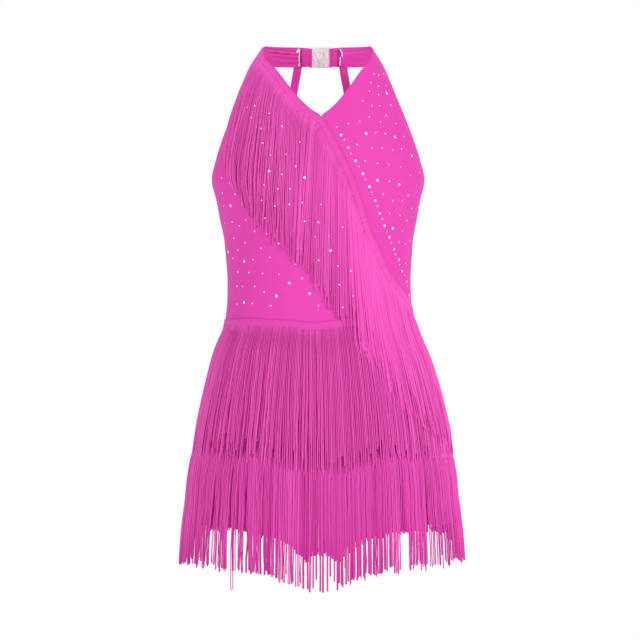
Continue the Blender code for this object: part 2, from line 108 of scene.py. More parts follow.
def readTable(table, key, name):
    # smooth between the rows, never past their values
    keys, column = table["keys"], table["columns"].index(name)
    values, slopes = table["values"][:, column], table["slopes"][:, column]
    key = np.clip(key, keys[0], keys[-1])
    row = np.clip(np.searchsorted(keys, key) - 1, 0, len(keys) - 2)
    span = keys[row + 1] - keys[row]
    t = (key - keys[row]) / span
    return (
        (2 * t**3 - 3 * t**2 + 1) * values[row]
        + (t**3 - 2 * t**2 + t) * (slopes[row] * span)
        + (3 * t**2 - 2 * t**3) * values[row + 1]
        + (t**3 - t**2) * (slopes[row + 1] * span)
    )


def readPairs(pairs, x):
    # straight between given pairs of place and value
    return np.interp(x, *zip(*pairs))


def easeStep(start, end, x):
    t = np.clip((x - start) / (end - start), 0, 1)
    return t * t * (3 - 2 * t)


def unit(vectors):
    return vectors / np.maximum(np.linalg.norm(vectors, axis=-1, keepdims=True), 1e-12)


# the filled-out form: heights in mm, the crotch in metres, turns in degrees
form = dict(
    squareness=0.9,
    crotchStart=-0.500, crotchDepth=0.117, crotchFall=0.047, crotchCurve=1.7,
    crotchWidth=0.055, crotchShift=-0.0048, crotchTurn=-1.2,
    neckTop=12.0, neckV=-76.0, vTurn=1.5, diagonalFoot=-312.0, waist=-333.0,
    backTopSide=-154.0, backTopMiddle=-160.0,
    # each level of the body: its centre across, half its width, and the depth of its sides, front and back
    sections=smoothTable("z centre half middle front back", [
        (14, -3.0, 66, 0, -50, 50), (-12, -3.0, 82, -6, -62, 57), (-29, -3.0, 89.5, -10, -69, 64),
        (-54, -2.8, 99.5, -15, -77, 72), (-79, -2.7, 109.5, -18, -85, 79), (-104, -2.6, 119, -17, -92, 84),
        (-129, -2.5, 127, -11, -98, 87), (-154, -2.4, 132.5, -2, -102, 89), (-179, -2.2, 127, 0, -103, 87),
        (-204, -2.0, 122.5, 0, -100, 83), (-229, -1.7, 117.5, 0, -95, 78), (-254, -1.5, 115.5, 0, -91, 74),
        (-279, -1.2, 114, 0, -88, 72), (-304, -1.0, 114.5, 0, -87, 74), (-329, -0.6, 117.5, 0, -89, 80),
        (-379, 0.9, 129, 0, -95, 95), (-429, 2.0, 140, 0, -100, 105), (-479, 2.4, 148, 0, -101, 108),
        (-529, 2.5, 153, 0, -98, 103), (-579, 2.5, 155, 0, -92, 94), (-640, 2.5, 154, 0, -84, 84),
    ]),
    # the diagonal header, and where the strand sewn at each height ends
    diagonal=smoothTable("z turn endTurn endZ", [
        (12, -88, -64, -128), (5, -70, -60, -136), (-3, -55, -50, -165), (-17.5, -35, -39, -199),
        (-40, -19, -29, -224), (-56, -10, -17, -242), (-66, -4.4, -12.5, -251), (-76, 1.5, -8, -260),
        (-108, 9, 1, -295), (-151, 17, 14, -336), (-188, 24, 23.5, -376), (-214, 29.5, 30.5, -403),
        (-241, 38, 38, -427), (-270, 48, 48, -450), (-291, 63, 62, -468), (-306, 77, 78, -482),
        (-313, 88, 88, -490),
    ]),
    # lower edge of the shorts, by degrees from the crotch
    hem=smoothTable("turn z", [
        (0, -616.5), (3, -617), (5, -626), (8.5, -617), (12, -608), (18, -600), (26, -595.5), (41, -588),
        (58, -583), (74, -581), (90, -580),
    ]),
    # free ends of the two tiers, by degrees from the centre front
    sideEnd=-498.0,
    tierEnds=smoothTable("turn waist lower", [
        (0, -517, -662), (7, -517, -655), (15, -511, -645), (28, -504, -637), (50, -503, -631),
        (70, -499, -627), (90, -497, -624), (100, -497, -613), (115, -498, -598), (140, -500, -591),
        (180, -501, -590),
    ]),
    # how far each fringe stands off the cloth
    standOff=smoothTable("z waist lower diagonal", [
        (14, 2, 2, 2.6), (-60, 2, 2, 3.4), (-110, 2, 2, 4.4), (-154, 2, 2, 6), (-200, 2, 2, 5.2),
        (-260, 2, 2, 4.4), (-300, 2, 2, 4.6), (-326, 2, 2, 5.2), (-340, 3, 2, 5.6), (-354, 5.3, 2, 7.0),
        (-379, 8.4, 2, 10.4), (-404, 9.6, 2, 12.2), (-454, 12, 2, 15.0), (-470, 12.7, 4.4, 16.2),
        (-490, 13.6, 10.4, 16.6), (-497, 14.0, 12.8, 16.8), (-504, 14.4, 14.3, 17.2),
        (-515, 15.0, 15.2, 17.8), (-530, 16.2, 16.2, 19.2), (-554, 17, 17, 20.6), (-579, 20, 20, 23.6),
        (-604, 23, 23, 26.6), (-664, 28, 28, 31.6),
    ]),
)
sideTurn = 90.0
halfDegree, smallClimb = 0.5, 1.0 * mm      # steps that feel the slope of the form


def sectionAt(z, name):
    return readTable(form["sections"], z / mm, name) * mm


def diagonalAt(height, name):
    return readTable(form["diagonal"], height, name)


def formPoint(angle, z, hasLegs=True):
    # outer face of the cloth; angle 0 is the centre front, 90 the wearer's left side
    angle, z = np.broadcast_arrays(np.asarray(angle, float), np.asarray(z, float))
    sine, cosine = np.sin(np.radians(angle)), np.cos(np.radians(angle))
    middle = sectionAt(z, "middle")
    reach = np.where(cosine >= 0, sectionAt(z, "front"), sectionAt(z, "back")) - middle
    across = sectionAt(z, "half") * np.sign(sine) * np.abs(sine) ** form["squareness"]
    depth = reach * np.abs(cosine) ** form["squareness"]
    if hasLegs:
        below = np.clip((form["crotchStart"] - z) / form["crotchDepth"], 0, None)
        fall = form["crotchFall"] * below ** form["crotchCurve"]
        near = np.exp(-(((across - form["crotchShift"]) / form["crotchWidth"]) ** 2))
        depth = depth - np.sign(depth) * np.minimum(fall, np.abs(depth)) * near
    return np.stack([sectionAt(z, "centre") + across, middle + depth, z], axis=-1)


def overDegree(angle, z, hasLegs=True):
    # the step that one degree makes round the form
    return formPoint(angle + halfDegree, z, hasLegs) - formPoint(angle - halfDegree, z, hasLegs)


def overClimb(angle, z, hasLegs=True):
    # the step that two small climbs make up the form
    return formPoint(angle, z + smallClimb, hasLegs) - formPoint(angle, z - smallClimb, hasLegs)


def formNormal(angle, z, hasLegs=True):
    return unit(np.cross(overDegree(angle, z, hasLegs), overClimb(angle, z, hasLegs)))


def onForm(angle, z, out=0.0, hasLegs=True):
    out = np.asarray(out, float)
    return formPoint(angle, z, hasLegs) + formNormal(angle, z, hasLegs) * out[..., None]


def fromFront(angle):
    # degrees from the centre front, either way
    return np.abs((angle + 2 * sideTurn) % (4 * sideTurn) - 2 * sideTurn)


def slideOnForm(angle, z, move):
    # the angle and z that a short move over the form leads to
    perDegree, perMetre = overDegree(angle, z), overClimb(angle, z) / (2 * smallClimb)
    a, b, c = (perDegree**2).sum(-1), (perDegree * perMetre).sum(-1), (perMetre**2).sum(-1)
    p, q = (perDegree * move).sum(-1), (perMetre * move).sum(-1)
    spread = a * c - b * b
    return angle + (p * c - q * b) / spread, z + (a * q - b * p) / spread


def gapTurn(angle, z, distance):
    # degrees that a distance takes round the form
    return distance / np.linalg.norm(overDegree(angle, z), axis=-1)


def turnAcross(across, z):
    # degrees from the middle of the front or the back to a point this far from the form's centre
    share = np.clip(np.abs(across) / sectionAt(z, "half"), 0, 1)
    return np.sign(across) * np.degrees(np.arcsin(share ** (1 / form["squareness"])))


def frontTurn(across, z):
    # angle of a point on the front, from its distance across
    return turnAcross(across - sectionAt(z, "centre"), z)


def backTurn(across, z):
    # angle of a point on the back, from its distance from the middle of the form
    return 2 * sideTurn - turnAcross(across, z)


# finishes
class Value:
    def __init__(self, finish, socket):
        self.finish, self.socket = finish, socket

    def __add__(self, other):
        return self.finish.maths("ADD", self, other)

    def __radd__(self, other):
        return self.finish.maths("ADD", other, self)

    def __sub__(self, other):
        return self.finish.maths("SUBTRACT", self, other)

    def __rsub__(self, other):
        return self.finish.maths("SUBTRACT", other, self)

    def __mul__(self, other):
        return self.finish.maths("MULTIPLY", self, other)

    def __rmul__(self, other):
        return self.finish.maths("MULTIPLY", other, self)


class Finish:
    def __init__(self, name):
        self.material = bpy.data.materials.new(name)
        self.material.use_nodes = True
        self.tree = self.material.node_tree
        self.shader = self.tree.nodes["Principled BSDF"]
        places = self.node("ShaderNodeTexCoord", {}, {}).outputs
        self.objectPlace, self.sewnPlace = places["Object"], places["UV"]

    def node(self, kind, settings, inputs):
        made = self.tree.nodes.new(kind)
        for name, value in settings.items():
            setattr(made, name, value)
        for name, value in inputs.items():
            self.join(made.inputs[name], value)
        return made

    def join(self, socket, value):
        if isinstance(value, Value):
            value = value.socket
        if isinstance(value, bpy.types.NodeSocket):
            self.tree.links.new(value, socket)
        else:
            socket.default_value = value

    def maths(self, operation, a, b=0.0):
        return Value(self, self.node("ShaderNodeMath", {"operation": operation}, {0: a, 1: b}).outputs[0])

    def wave(self, x):
        return self.maths("SINE", x)

    def mixed(self, factor, a, b):
        # a Mix node's inputs 6 and 7 are its colours
        return self.node("ShaderNodeMix", {"data_type": "RGBA"}, {"Factor": factor, 6: a, 7: b}).outputs[2]

    def noise(self, scale, detail=2.0, place=None):
        made = self.node(
            "ShaderNodeTexNoise", {}, {"Vector": place or self.objectPlace, "Scale": scale, "Detail": detail}
        )
        return Value(self, made.outputs["Fac"])

    def acrossAndAlong(self):
        # the piece's own map, in metres across and along it
        split = self.node("ShaderNodeSeparateXYZ", {}, {"Vector": self.sewnPlace})
        return Value(self, split.outputs[0]), Value(self, split.outputs[1])

    def keptTone(self):
        # the tone that a piece keeps at its own points; on the fringe and the stones it holds painted shade
        # and light as well as random tone
        return Value(self, self.node("ShaderNodeAttribute", {"attribute_name": "tone"}, {}).outputs["Fac"])

    def set(self, values):
        for name, value in values.items():
            self.join(self.shader.inputs[name], value)

    def bump(self, height, strength, distance):
        made = self.node(
            "ShaderNodeBump", {}, {"Height": height, "Strength": strength, "Distance": distance}
        )
        self.set({"Normal": made.outputs["Normal"]})


knit = dict(
    body=((0.760, 0.056, 0.440, 1), (0.705, 0.043, 0.388, 1)),
    # the neckband and straps take a lighter copy of the body knit: painted light inside the neck opening
    litTrim=((0.850, 0.072, 0.508, 1), (0.800, 0.059, 0.455, 1)),
    walePitch=0.42 * mm, coursePitch=0.34 * mm, fibreScale=2600.0, cloudScale=22.0,
    roughness=0.62, sheen=(1.0, 0.45, 0.80, 1), relief=0.05 * mm,
)


def stretchKnit(name, colours):
    finish = Finish(name)
    across, along = finish.acrossAndAlong()
    wales = finish.wave(across * (2 * math.pi / knit["walePitch"]))
    courses = finish.wave(along * (2 * math.pi / knit["coursePitch"]) + wales * 0.8)
    fibre = finish.noise(knit["fibreScale"], 3.0)
    cloud = finish.noise(knit["cloudScale"], 3.0)
    finish.set({
        "Base Color": finish.mixed(cloud * 0.7 + fibre * 0.3, *colours),
        "Roughness": knit["roughness"] + (fibre - 0.5) * 0.08,
        "Sheen Weight": 0.06, "Sheen Roughness": 0.45, "Sheen Tint": knit["sheen"],
        "Specular IOR Level": 0.20,
    })
    finish.bump(wales * 0.4 + courses * 0.35 + fibre * 0.8, 0.22, knit["relief"])
    return finish.material


chainette = dict(
    colour=(0.985, 0.122, 0.620, 1), shade=(0.590, 0.012, 0.310, 1), stitchPitch=1.7 * mm,
    fibreScale=1500.0, roughness=0.5, sheen=(1.0, 0.6, 0.85, 1), relief=0.12 * mm,
)


def chainetteThread():
    # two twists that cross, as in a chain of small loops
    finish = Finish("chainetteThread")
    roundIt, along = finish.acrossAndAlong()
    chain, twist = along * (2 * math.pi / chainette["stitchPitch"]), roundIt * (2 * math.pi)
    loops = finish.wave(chain + twist) * finish.wave(chain - twist)
    fibre = finish.noise(chainette["fibreScale"])
    tone = finish.keptTone() * 0.75 + loops * 0.10 + fibre * 0.15
    finish.set({
        "Base Color": finish.mixed(tone, chainette["shade"], chainette["colour"]),
        "Roughness": chainette["roughness"] + (fibre - 0.5) * 0.1,
        "Sheen Weight": 0.14, "Sheen Roughness": 0.4, "Sheen Tint": chainette["sheen"],
        "Specular IOR Level": 0.35,
    })
    finish.bump(loops + fibre * 0.3, 0.35, chainette["relief"])
    return finish.material


weave = dict(
    colour=(0.82, 0.062, 0.48, 1), shade=(0.64, 0.042, 0.37, 1), ribPitch=2.0 * mm, pickPitch=1.1 * mm,
    fibreScale=1800.0, roughness=0.62, relief=0.2 * mm,
)


def wovenTape():
    finish = Finish("wovenTape")
    across, along = finish.acrossAndAlong()
    ribs = finish.wave(across * (2 * math.pi / weave["ribPitch"]))
    picks = finish.wave(along * (2 * math.pi / weave["pickPitch"]))
    fibre = finish.noise(weave["fibreScale"])
    tone = ribs * 0.2 + picks * 0.1 + fibre * 0.7
    finish.set({
        "Base Color": finish.mixed(tone, weave["shade"], weave["colour"]),
        "Roughness": weave["roughness"], "Sheen Weight": 0.12, "Specular IOR Level": 0.3,
    })
    finish.bump(ribs + picks * 0.5, 0.4, weave["relief"])
    return finish.material


# each thread's colour and glow; the white tacking's glow is painted light, and the dark overlock is dark
# partly as painted shade along the band's edges
threads = dict(
    pinkStitching=((0.80, 0.07, 0.46, 1), 0.0),
    whiteTacking=((1.0, 0.93, 0.99, 1), 0.22),
    darkShadeOverlock=((0.36, 0.016, 0.20, 1), 0.0),
)


def sewingThread(name):
    colour, glow = threads[name]
    finish = Finish(name)
    darker = tuple(c * 0.8 for c in colour[:3]) + (1,)
    finish.set({
        "Base Color": finish.mixed(finish.noise(3000.0), darker, colour),
        "Roughness": 0.5, "Sheen Weight": 0.2, "Emission Color": colour, "Emission Strength": glow,
    })
    return finish.material


# painted on the stones: shade round the rim, a glint on the table, small sparks and a faint glow
crystal = dict(
    rim=(0.64, 0.11, 0.60, 1), table=(0.97, 0.86, 1.0, 1), glow=(0.95, 0.80, 1.0, 1), glowStrength=0.12,
    sparkScale=900.0, roughness=0.12,
)


def cutCrystal():
    finish = Finish("cutCrystal")
    # painted glints: small sparks in the colour
    spark = finish.noise(crystal["sparkScale"], 1.0)
    tone = finish.keptTone() + (spark - 0.5) * 0.2
    finish.set({
        "Base Color": finish.mixed(tone, crystal["rim"], crystal["table"]),
        "Roughness": crystal["roughness"] + spark * 0.1, "Metallic": 0.15, "Coat Weight": 0.4,
        "Emission Color": crystal["glow"], "Emission Strength": crystal["glowStrength"],
    })
    return finish.material


# the clasp's streaks are painted shade and light, for how its clear ribs bend the light
plastic = dict(
    shade=(0.70, 0.72, 0.72, 1), clear=(0.97, 0.99, 0.98, 1), drawn=(1.0, 1.0, 0.14), streakScale=460.0,
    roughness=0.20, relief=0.5 * mm,
)


def clearPlastic():
    finish = Finish("clearRibbedPlastic")
    drawn = finish.node(
        "ShaderNodeVectorMath", {"operation": "MULTIPLY"}, {0: finish.objectPlace, 1: plastic["drawn"]}
    ).outputs["Vector"]
    streak = finish.noise(plastic["streakScale"], place=drawn)
    # painted shade and light: darker and lighter streaks down the clasp
    tone = finish.maths("MINIMUM", finish.maths("MAXIMUM", (streak - 0.5) * 3.2 + 0.7, 0.0), 1.0)
    finish.set({
        "Base Color": finish.mixed(tone, plastic["shade"], plastic["clear"]),
        "Roughness": plastic["roughness"] + streak * 0.14, "Transmission Weight": 0.05, "IOR": 1.49,
        "Coat Weight": 0.3,
    })
    finish.bump(streak, 0.4, plastic["relief"])
    return finish.material


finishes = dict(
    knit=stretchKnit("stretchKnit", knit["body"]), litTrim=stretchKnit("litTrimKnit", knit["litTrim"]),
    thread=chainetteThread(), tape=wovenTape(),
    pinkStitch=sewingThread("pinkStitching"), whiteStitch=sewingThread("whiteTacking"),
    darkShadeStitch=sewingThread("darkShadeOverlock"),
    crystal=cutCrystal(), plastic=clearPlastic(),
)
print("finishes ready:", len(finishes))


# creases: start angle, start z, end angle, end z, half width, height, in degrees and mm
creases = [
    (-17, -286, -21, -333, 5.0, 0.9), (-28, -300, -24, -333, 4.0, -0.6), (-52, -302, -44, -333, 5.0, 0.8),
    (-60, -322, -30, -327, 2.2, 0.7), (-30, -327, -4, -331, 2.2, 0.9), (-4, -331, 20, -327, 2.2, 0.7),
    (-78, -150, -48, -178, 8.0, 1.0), (-84, -172, -62, -190, 7.0, 0.8), (78, -150, 50, -176, 8.0, 0.9),
    (84, -176, 60, -192, 7.0, 0.7), (66, -225, 74, -300, 7.0, 0.9), (50, -240, 58, -285, 6.0, -0.7),
    (-72, -235, -66, -300, 7.0, 0.8), (40, -30, 34, -74, 6.0, 0.6), (58, -20, 46, -58, 5.0, -0.5),
    (105, -262, 205, -276, 6.0, 1.4), (150, -286, 250, -272, 6.0, 1.4), (118, -298, 190, -306, 5.0, 1.1),
    (170, -312, 246, -300, 5.0, 1.1), (100, -170, 128, -200, 9.0, 1.2), (260, -170, 232, -200, 9.0, 1.2),
    (-70, -560, -20, -600, 6.0, 0.8), (70, -560, 24, -600, 6.0, 0.8), (150, -545, 178, -600, 7.0, 1.4),
    (210, -545, 184, -600, 7.0, 1.4), (120, -480, 160, -520, 8.0, 1.0), (240, -480, 200, -520, 8.0, 1.0),
]
millimetresPerDegree = 2.2      # roughly, round the body


def creaseHeight(angle, z):
    total = np.zeros(np.broadcast(angle, z).shape)
    perTurn = millimetresPerDegree * mm
    for startTurn, startZ, endTurn, endZ, width, height in creases:
        run = np.array([(endTurn - startTurn) * perTurn, (endZ - startZ) * mm])
        length = math.hypot(*run)
        x, y = (angle - startTurn) * perTurn, z - startZ * mm
        along = (x * run[0] + y * run[1]) / length**2
        off = (x * run[1] - y * run[0]) / length
        # both ends of a crease fade out
        fade = easeStep(-0.15, 0.3, along) * easeStep(1.15, 0.7, along)
        total = total + height * mm * fade * np.exp(-((off / (width * mm)) ** 2))
    return total


# sheets, tubes and lines of stitches
sewing = dict(
    hemWidth=7.0 * mm, hemRise=0.35 * mm, hemSlope=0.8 * mm, foldWidth=1.2 * mm, foldFall=1.2,
    hemBlend=4 * mm, seamDip=0.35 * mm, seamWidth=2.2 * mm, creaseFade=12 * mm, clothThick=0.9 * mm,
    stitchIn=5.6 * mm,
)
stitches = dict(length=2.4 * mm, pitch=3.2 * mm, radius=0.20 * mm, proud=0.02 * mm, lines=[], overlock=[])


def edgeShares(count, pull=0.6):
    # shares from 0 to 1, drawn closer together near both ends
    share = np.linspace(0, 1, count)
    return share - pull * np.sin(2 * np.pi * share) / (2 * np.pi)


def runLength(points, axis):
    steps = np.linalg.norm(np.diff(points, axis=axis), axis=-1)
    start = np.zeros_like(np.take(steps, [0], axis=axis))
    return np.concatenate([start, np.cumsum(steps, axis=axis)], axis=axis)


def pointsAt(lengths, run, line):
    # points at some lengths along a line
    return np.stack([np.interp(lengths, run, line[:, axis]) for axis in range(3)], axis=-1)


def edgeDistances(points):
    alongRow, alongColumn = runLength(points, 1), runLength(points, 0)
    return dict(
        start=alongRow, end=alongRow[:, -1:] - alongRow,
        bottom=alongColumn, top=alongColumn[-1:, :] - alongColumn,
    )


def edgeLine(points, edge, inset):
    # a line that follows one edge of a grid at a distance from it
    if edge in ("bottom", "top"):
        points = np.swapaxes(points, 0, 1)
    if edge in ("end", "top"):
        points = points[:, ::-1]
    return np.array([
        pointsAt(inset, run, row) for run, row in zip(runLength(points, 1), points) if run[-1] > inset * 1.5
    ])


def meshPoints(piece):
    flat = np.zeros(len(piece.data.vertices) * 3)
    piece.data.vertices.foreach_get("co", flat)
    return flat.reshape(-1, 3)


def sheetFromPoints(name, points, thick):
    # a grid primitive laid on rows of points that run from bottom to top, then given its thickness inwards
    rows, columns = points.shape[:2]
    clearSelection()
    bpy.ops.mesh.primitive_grid_add(x_subdivisions=columns - 1, y_subdivisions=rows - 1, size=1.0)
    piece = takePiece(name)
    flat = meshPoints(piece)
    column = np.rint((flat[:, 0] + 0.5) * (columns - 1)).astype(int)
    row = np.rint((flat[:, 1] + 0.5) * (rows - 1)).astype(int)
    piece.data.vertices.foreach_set("co", points[row, column].ravel())
    sewnPlaces = piece.data.uv_layers[0].data
    uv = np.zeros(len(sewnPlaces) * 2)
    sewnPlaces.foreach_get("uv", uv)
    size = np.array([runLength(points, 1)[:, -1].mean(), runLength(points, 0)[-1, :].mean()])
    sewnPlaces.foreach_set("uv", (uv.reshape(-1, 2) * size).ravel())
    piece.data.update()
    wall = piece.modifiers.new("clothThickness", "SOLIDIFY")
    wall.thickness, wall.offset, wall.use_even_offset = thick, -1.0, False
    applyModifiers(piece)
    return piece


def sewnSheet(name, angle, z, hems=(), seams=(), above=None):
    # a hem on the start edge covers only the rows above a height, where one is given
    distance = edgeDistances(formPoint(angle, z))
    out = creaseHeight(angle, z)
    for edge in seams:
        out = out * easeStep(0.0, sewing["creaseFade"], distance[edge])
    blend = sewing["hemBlend"]
    for edge in hems:
        outer = sewing["hemWidth"] + sewing["hemSlope"]
        rise = sewing["hemRise"] * easeStep(outer, sewing["hemWidth"], distance[edge])
        fold = easeStep(sewing["foldWidth"], 0.0, distance[edge])
        rise = rise - sewing["hemRise"] * sewing["foldFall"] * fold
        if edge == "start" and above is not None:
            rise = rise * easeStep(above - blend, above + blend, z)
        out = out + rise
    for edge in seams:
        out = out - sewing["seamDip"] * easeStep(sewing["seamWidth"], 0.0, distance[edge])
    points = onForm(angle, z, out)
    for edge in hems:
        line = edgeLine(points, edge, sewing["stitchIn"])
        if edge == "start" and above is not None:
            line = line[line[:, 2] > above + 2 * blend]
        stitches["lines"].append(line)
    return sheetFromPoints(name, points, sewing["clothThick"])


def ringFaces(rings, roundWidth, length):
    # points, faces, sewn places and closed ends of tubes: rings of points along each of them
    count, points, sides = rings.shape[:3]
    index = np.arange(count * points * sides).reshape(count, points, sides)
    a, b = index[:, :-1], index[:, 1:]
    quads = np.stack([a, np.roll(a, -1, axis=2), np.roll(b, -1, axis=2), b], axis=-1).reshape(-1, 4)
    low = np.repeat(length[:, :-1, None], sides, axis=2)
    high = np.repeat(length[:, 1:, None], sides, axis=2)
    left = np.broadcast_to(np.arange(sides) / sides * roundWidth, low.shape)
    right = left + roundWidth / sides
    corners = ((left, low), (right, low), (right, high), (left, high))
    uv = np.stack([np.stack(corner, -1) for corner in corners], axis=-2).reshape(-1, 2)
    caps = np.concatenate([index[:, 0, ::-1], index[:, -1]])
    return rings.reshape(-1, 3), quads, uv, caps


def tubesAlong(paths, normals, radius, sides):
    # closed tubes along many lines of the same number of points
    tangents = unit(np.gradient(paths, axis=1))
    across = unit(np.cross(tangents, normals))
    outward = unit(np.cross(across, tangents))
    turns = np.arange(sides) / sides * 2 * np.pi
    radius = np.broadcast_to(radius, paths.shape[:2])[..., None, None]
    rings = (
        paths[:, :, None, :]
        + radius * (np.cos(turns)[None, None, :, None] * across[:, :, None, :]
                    + np.sin(turns)[None, None, :, None] * outward[:, :, None, :])
    )
    return ringFaces(rings, 1, runLength(paths, 1))


def keepTone(mesh, tones):
    # read by the finish at each point
    tone = mesh.attributes.new("tone", "FLOAT", "POINT")
    tone.data.foreach_set("value", np.asarray(tones, np.float32))


def meshFromTubes(name, tubes, tones=1.0):
    vertices, quads, uv, caps = tubes
    mesh = bpy.data.meshes.new(name)
    loops = np.concatenate([quads.ravel(), caps.ravel()])
    starts = np.concatenate([
        np.arange(len(quads)) * 4, len(quads) * 4 + np.arange(len(caps)) * caps.shape[1]
    ])
    mesh.vertices.add(len(vertices))
    mesh.loops.add(len(loops))
    mesh.polygons.add(len(starts))
    mesh.vertices.foreach_set("co", vertices.ravel())
    mesh.loops.foreach_set("vertex_index", loops)
    mesh.polygons.foreach_set("loop_start", starts)
    mesh.update(calc_edges=True)
    places = mesh.uv_layers.new(name="threadPlace")
    places.data.foreach_set("uv", np.concatenate([uv, np.zeros((caps.size, 2))]).ravel())
    keepTone(mesh, np.broadcast_to(tones, len(vertices)))
    mesh.validate()
    return bringIn(name, mesh)


# bodice
bodice = dict(
    rows=120, columns=104, leftColumns=70, backRows=70, backColumns=110, halfGap=0.15 * mm,
    footBlend=6, footGap=0.3, sideGap=1.5, underHeader=2.0, underOver=14.0,
)


def seamTurn(height):
    # the diagonal seam, which slips under its header below the V
    under = bodice["underHeader"] * np.clip((form["neckV"] - height) / bodice["underOver"], 0, 1)
    return diagonalAt(height, "turn") - under


def frontPanels():
    waist, neckTop, foot, gap = form["waist"], form["neckTop"], form["diagonalFoot"], bodice["halfGap"]
    height = (waist + (neckTop - waist) * edgeShares(bodice["rows"]))[:, None]
    z = height * mm
    seam = seamTurn(height) - gapTurn(0.0, z, gap)
    full = sideTurn - gapTurn(sideTurn, z, gap)
    last = seam + (full - seam) * easeStep(foot, foot - bodice["footBlend"], height)
    angle = -full + (last + full) * edgeShares(bodice["columns"])[None, :]
    right = sewnSheet("rightFront", angle, z + 0 * angle, hems=("start",), seams=("bottom",))

    foot = foot + bodice["footGap"]
    height = (foot + (neckTop - foot) * np.linspace(0, 1, bodice["rows"]))[:, None]
    z = height * mm
    path = seamTurn(height)
    first = np.where(height > form["neckV"], 2 * form["vTurn"] - path, path) + gapTurn(0.0, z, gap)
    first = np.minimum(first, sideTurn - bodice["sideGap"])
    last = sideTurn - gapTurn(sideTurn, z, gap)
    angle = first + (last - first) * edgeShares(bodice["leftColumns"])[None, :]
    left = sewnSheet("leftFront", angle, z + 0 * angle, hems=("end", "start"), above=form["neckV"] * mm)
    return right, left


def backPanel():
    gap = gapTurn(sideTurn, form["backTopSide"] * mm, bodice["halfGap"])
    angle = np.linspace(sideTurn + gap, 3 * sideTurn - gap, bodice["backColumns"])[None, :]
    dip = np.cos(np.radians(angle - 2 * sideTurn)) ** 2
    top = form["backTopSide"] + (form["backTopMiddle"] - form["backTopSide"]) * dip
    z = (form["waist"] + (top - form["waist"]) * edgeShares(bodice["backRows"])[:, None]) * mm
    return sewnSheet("backPanel", angle + 0 * z, z, hems=("top",), seams=("start", "end", "bottom"))


rightFront, leftFront = frontPanels()
backBodice = backPanel()
for piece, node, flat, area in (
    (rightFront, "front_right", (0.36, 0.36), 0.066),
    (leftFront, "front_left", (0.17, 0.34), 0.034),
    (backBodice, "back_bodice", (0.33, 0.19), 0.060),
):
    finishPiece(piece, finishes["knit"])
    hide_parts(node)
print("bodice sewn")

# shorts
shorts = dict(rows=84, columns=60, crowd=1.35, topGap=0.3, pull=0.5)


def shortsPanel(name, side, isBack):
    base = np.linspace(0, 1, shorts["columns"]) ** shorts["crowd"] * sideTurn
    gap = gapTurn(0.0, form["crotchStart"], bodice["halfGap"])
    turn = base * side + form["crotchTurn"] * (1 - base / sideTurn)
    turn = turn + gap * side * (1 - 2 * base / sideTurn)
    hem = readTable(form["hem"], base, "z")
    if isBack:
        turn = 2 * sideTurn - turn
    if turn[-1] < turn[0]:
        turn, hem = turn[::-1], hem[::-1]
    top = form["waist"] - shorts["topGap"]
    z = (hem[None, :] + (top - hem[None, :]) * edgeShares(shorts["rows"], shorts["pull"])[:, None]) * mm
    # the crotch and side seams are the first and the last column, or the other way round
    seams = ("end", "start", "top") if (side < 0) != isBack else ("start", "end", "top")
    return sewnSheet(name, turn[None, :] + 0 * z, z, hems=("bottom",), seams=seams)


for sideName, side in (("right", -1), ("left", 1)):
    for isBack, face in ((False, "front"), (True, "back")):
        panel = shortsPanel(sideName + face.capitalize() + "Shorts", side, isBack)
        finishPiece(panel, finishes["knit"])
        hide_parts("shorts_" + face + "_" + sideName)


gusset = dict(halfTurn=5, columns=21, rows=40, lap=2.1 * mm, sag=2.0 * mm)


def crotchGusset():
    across = np.linspace(-gusset["halfTurn"], gusset["halfTurn"], gusset["columns"])
    hem = readTable(form["hem"], np.abs(across), "z") * mm
    angle = across + form["crotchTurn"]
    front, back = formPoint(angle, hem), formPoint(2 * sideTurn - angle, hem)
    front[:, 1] += gusset["lap"]
    back[:, 1] -= gusset["lap"]
    share = np.linspace(1, 0, gusset["rows"])[:, None, None]
    points = front[None] + (back - front)[None] * share
    points[..., 2] -= gusset["sag"] * np.sin(np.pi * share[..., 0])
    return sheetFromPoints("gussetCloth", points, sewing["clothThick"])


gussetCloth = crotchGusset()
finishPiece(gussetCloth, finishes["knit"])
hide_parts("gusset")
print("shorts sewn")

# seam allowances turned inside
allowance = dict(
    half=5.5 * mm, inside=1.25 * mm, bow=0.25 * mm, thick=0.45 * mm, rows=60, waistColumns=150,
    # clear of the other seams at each end, in mm
    aboveWaist=2, belowBackTop=3, belowWaist=6, shortsFoot=-576,
    # the thread that loops over each raw edge
    loop=1.1 * mm, over=-0.06, reach=0.62, thread=0.17 * mm,
)


def turnedSeam(name, angle, z, wide):
    # angle and z run along the seam; the strip lies flat inside the cloth, wide to each side of it
    offset = np.linspace(-1, 1, 5)[:, None]
    if wide == "around":
        angles = angle[None, :] + offset * gapTurn(angle, z, allowance["half"])[None, :]
        heights = z[None, :] + 0 * offset
    else:
        angles = angle[None, :] + 0 * offset
        heights = z[None, :] + offset * allowance["half"]
    inside = -allowance["inside"] - allowance["bow"] * (1 - offset**2)
    points = onForm(angles, heights, inside + 0 * angles)
    if wide == "around":
        points = points[:, ::-1]
    strip = sheetFromPoints(name, points, allowance["thick"])
    finishPiece(strip, finishes["knit"], 60.0)
    length = float(runLength(points, 1)[2, -1])
    inner = onForm(angles, heights, inside - allowance["thick"] - allowance["thread"] + 0 * angles)
    stitches["overlock"] += [(inner[0], inner[1]), (inner[-1], inner[-2])]


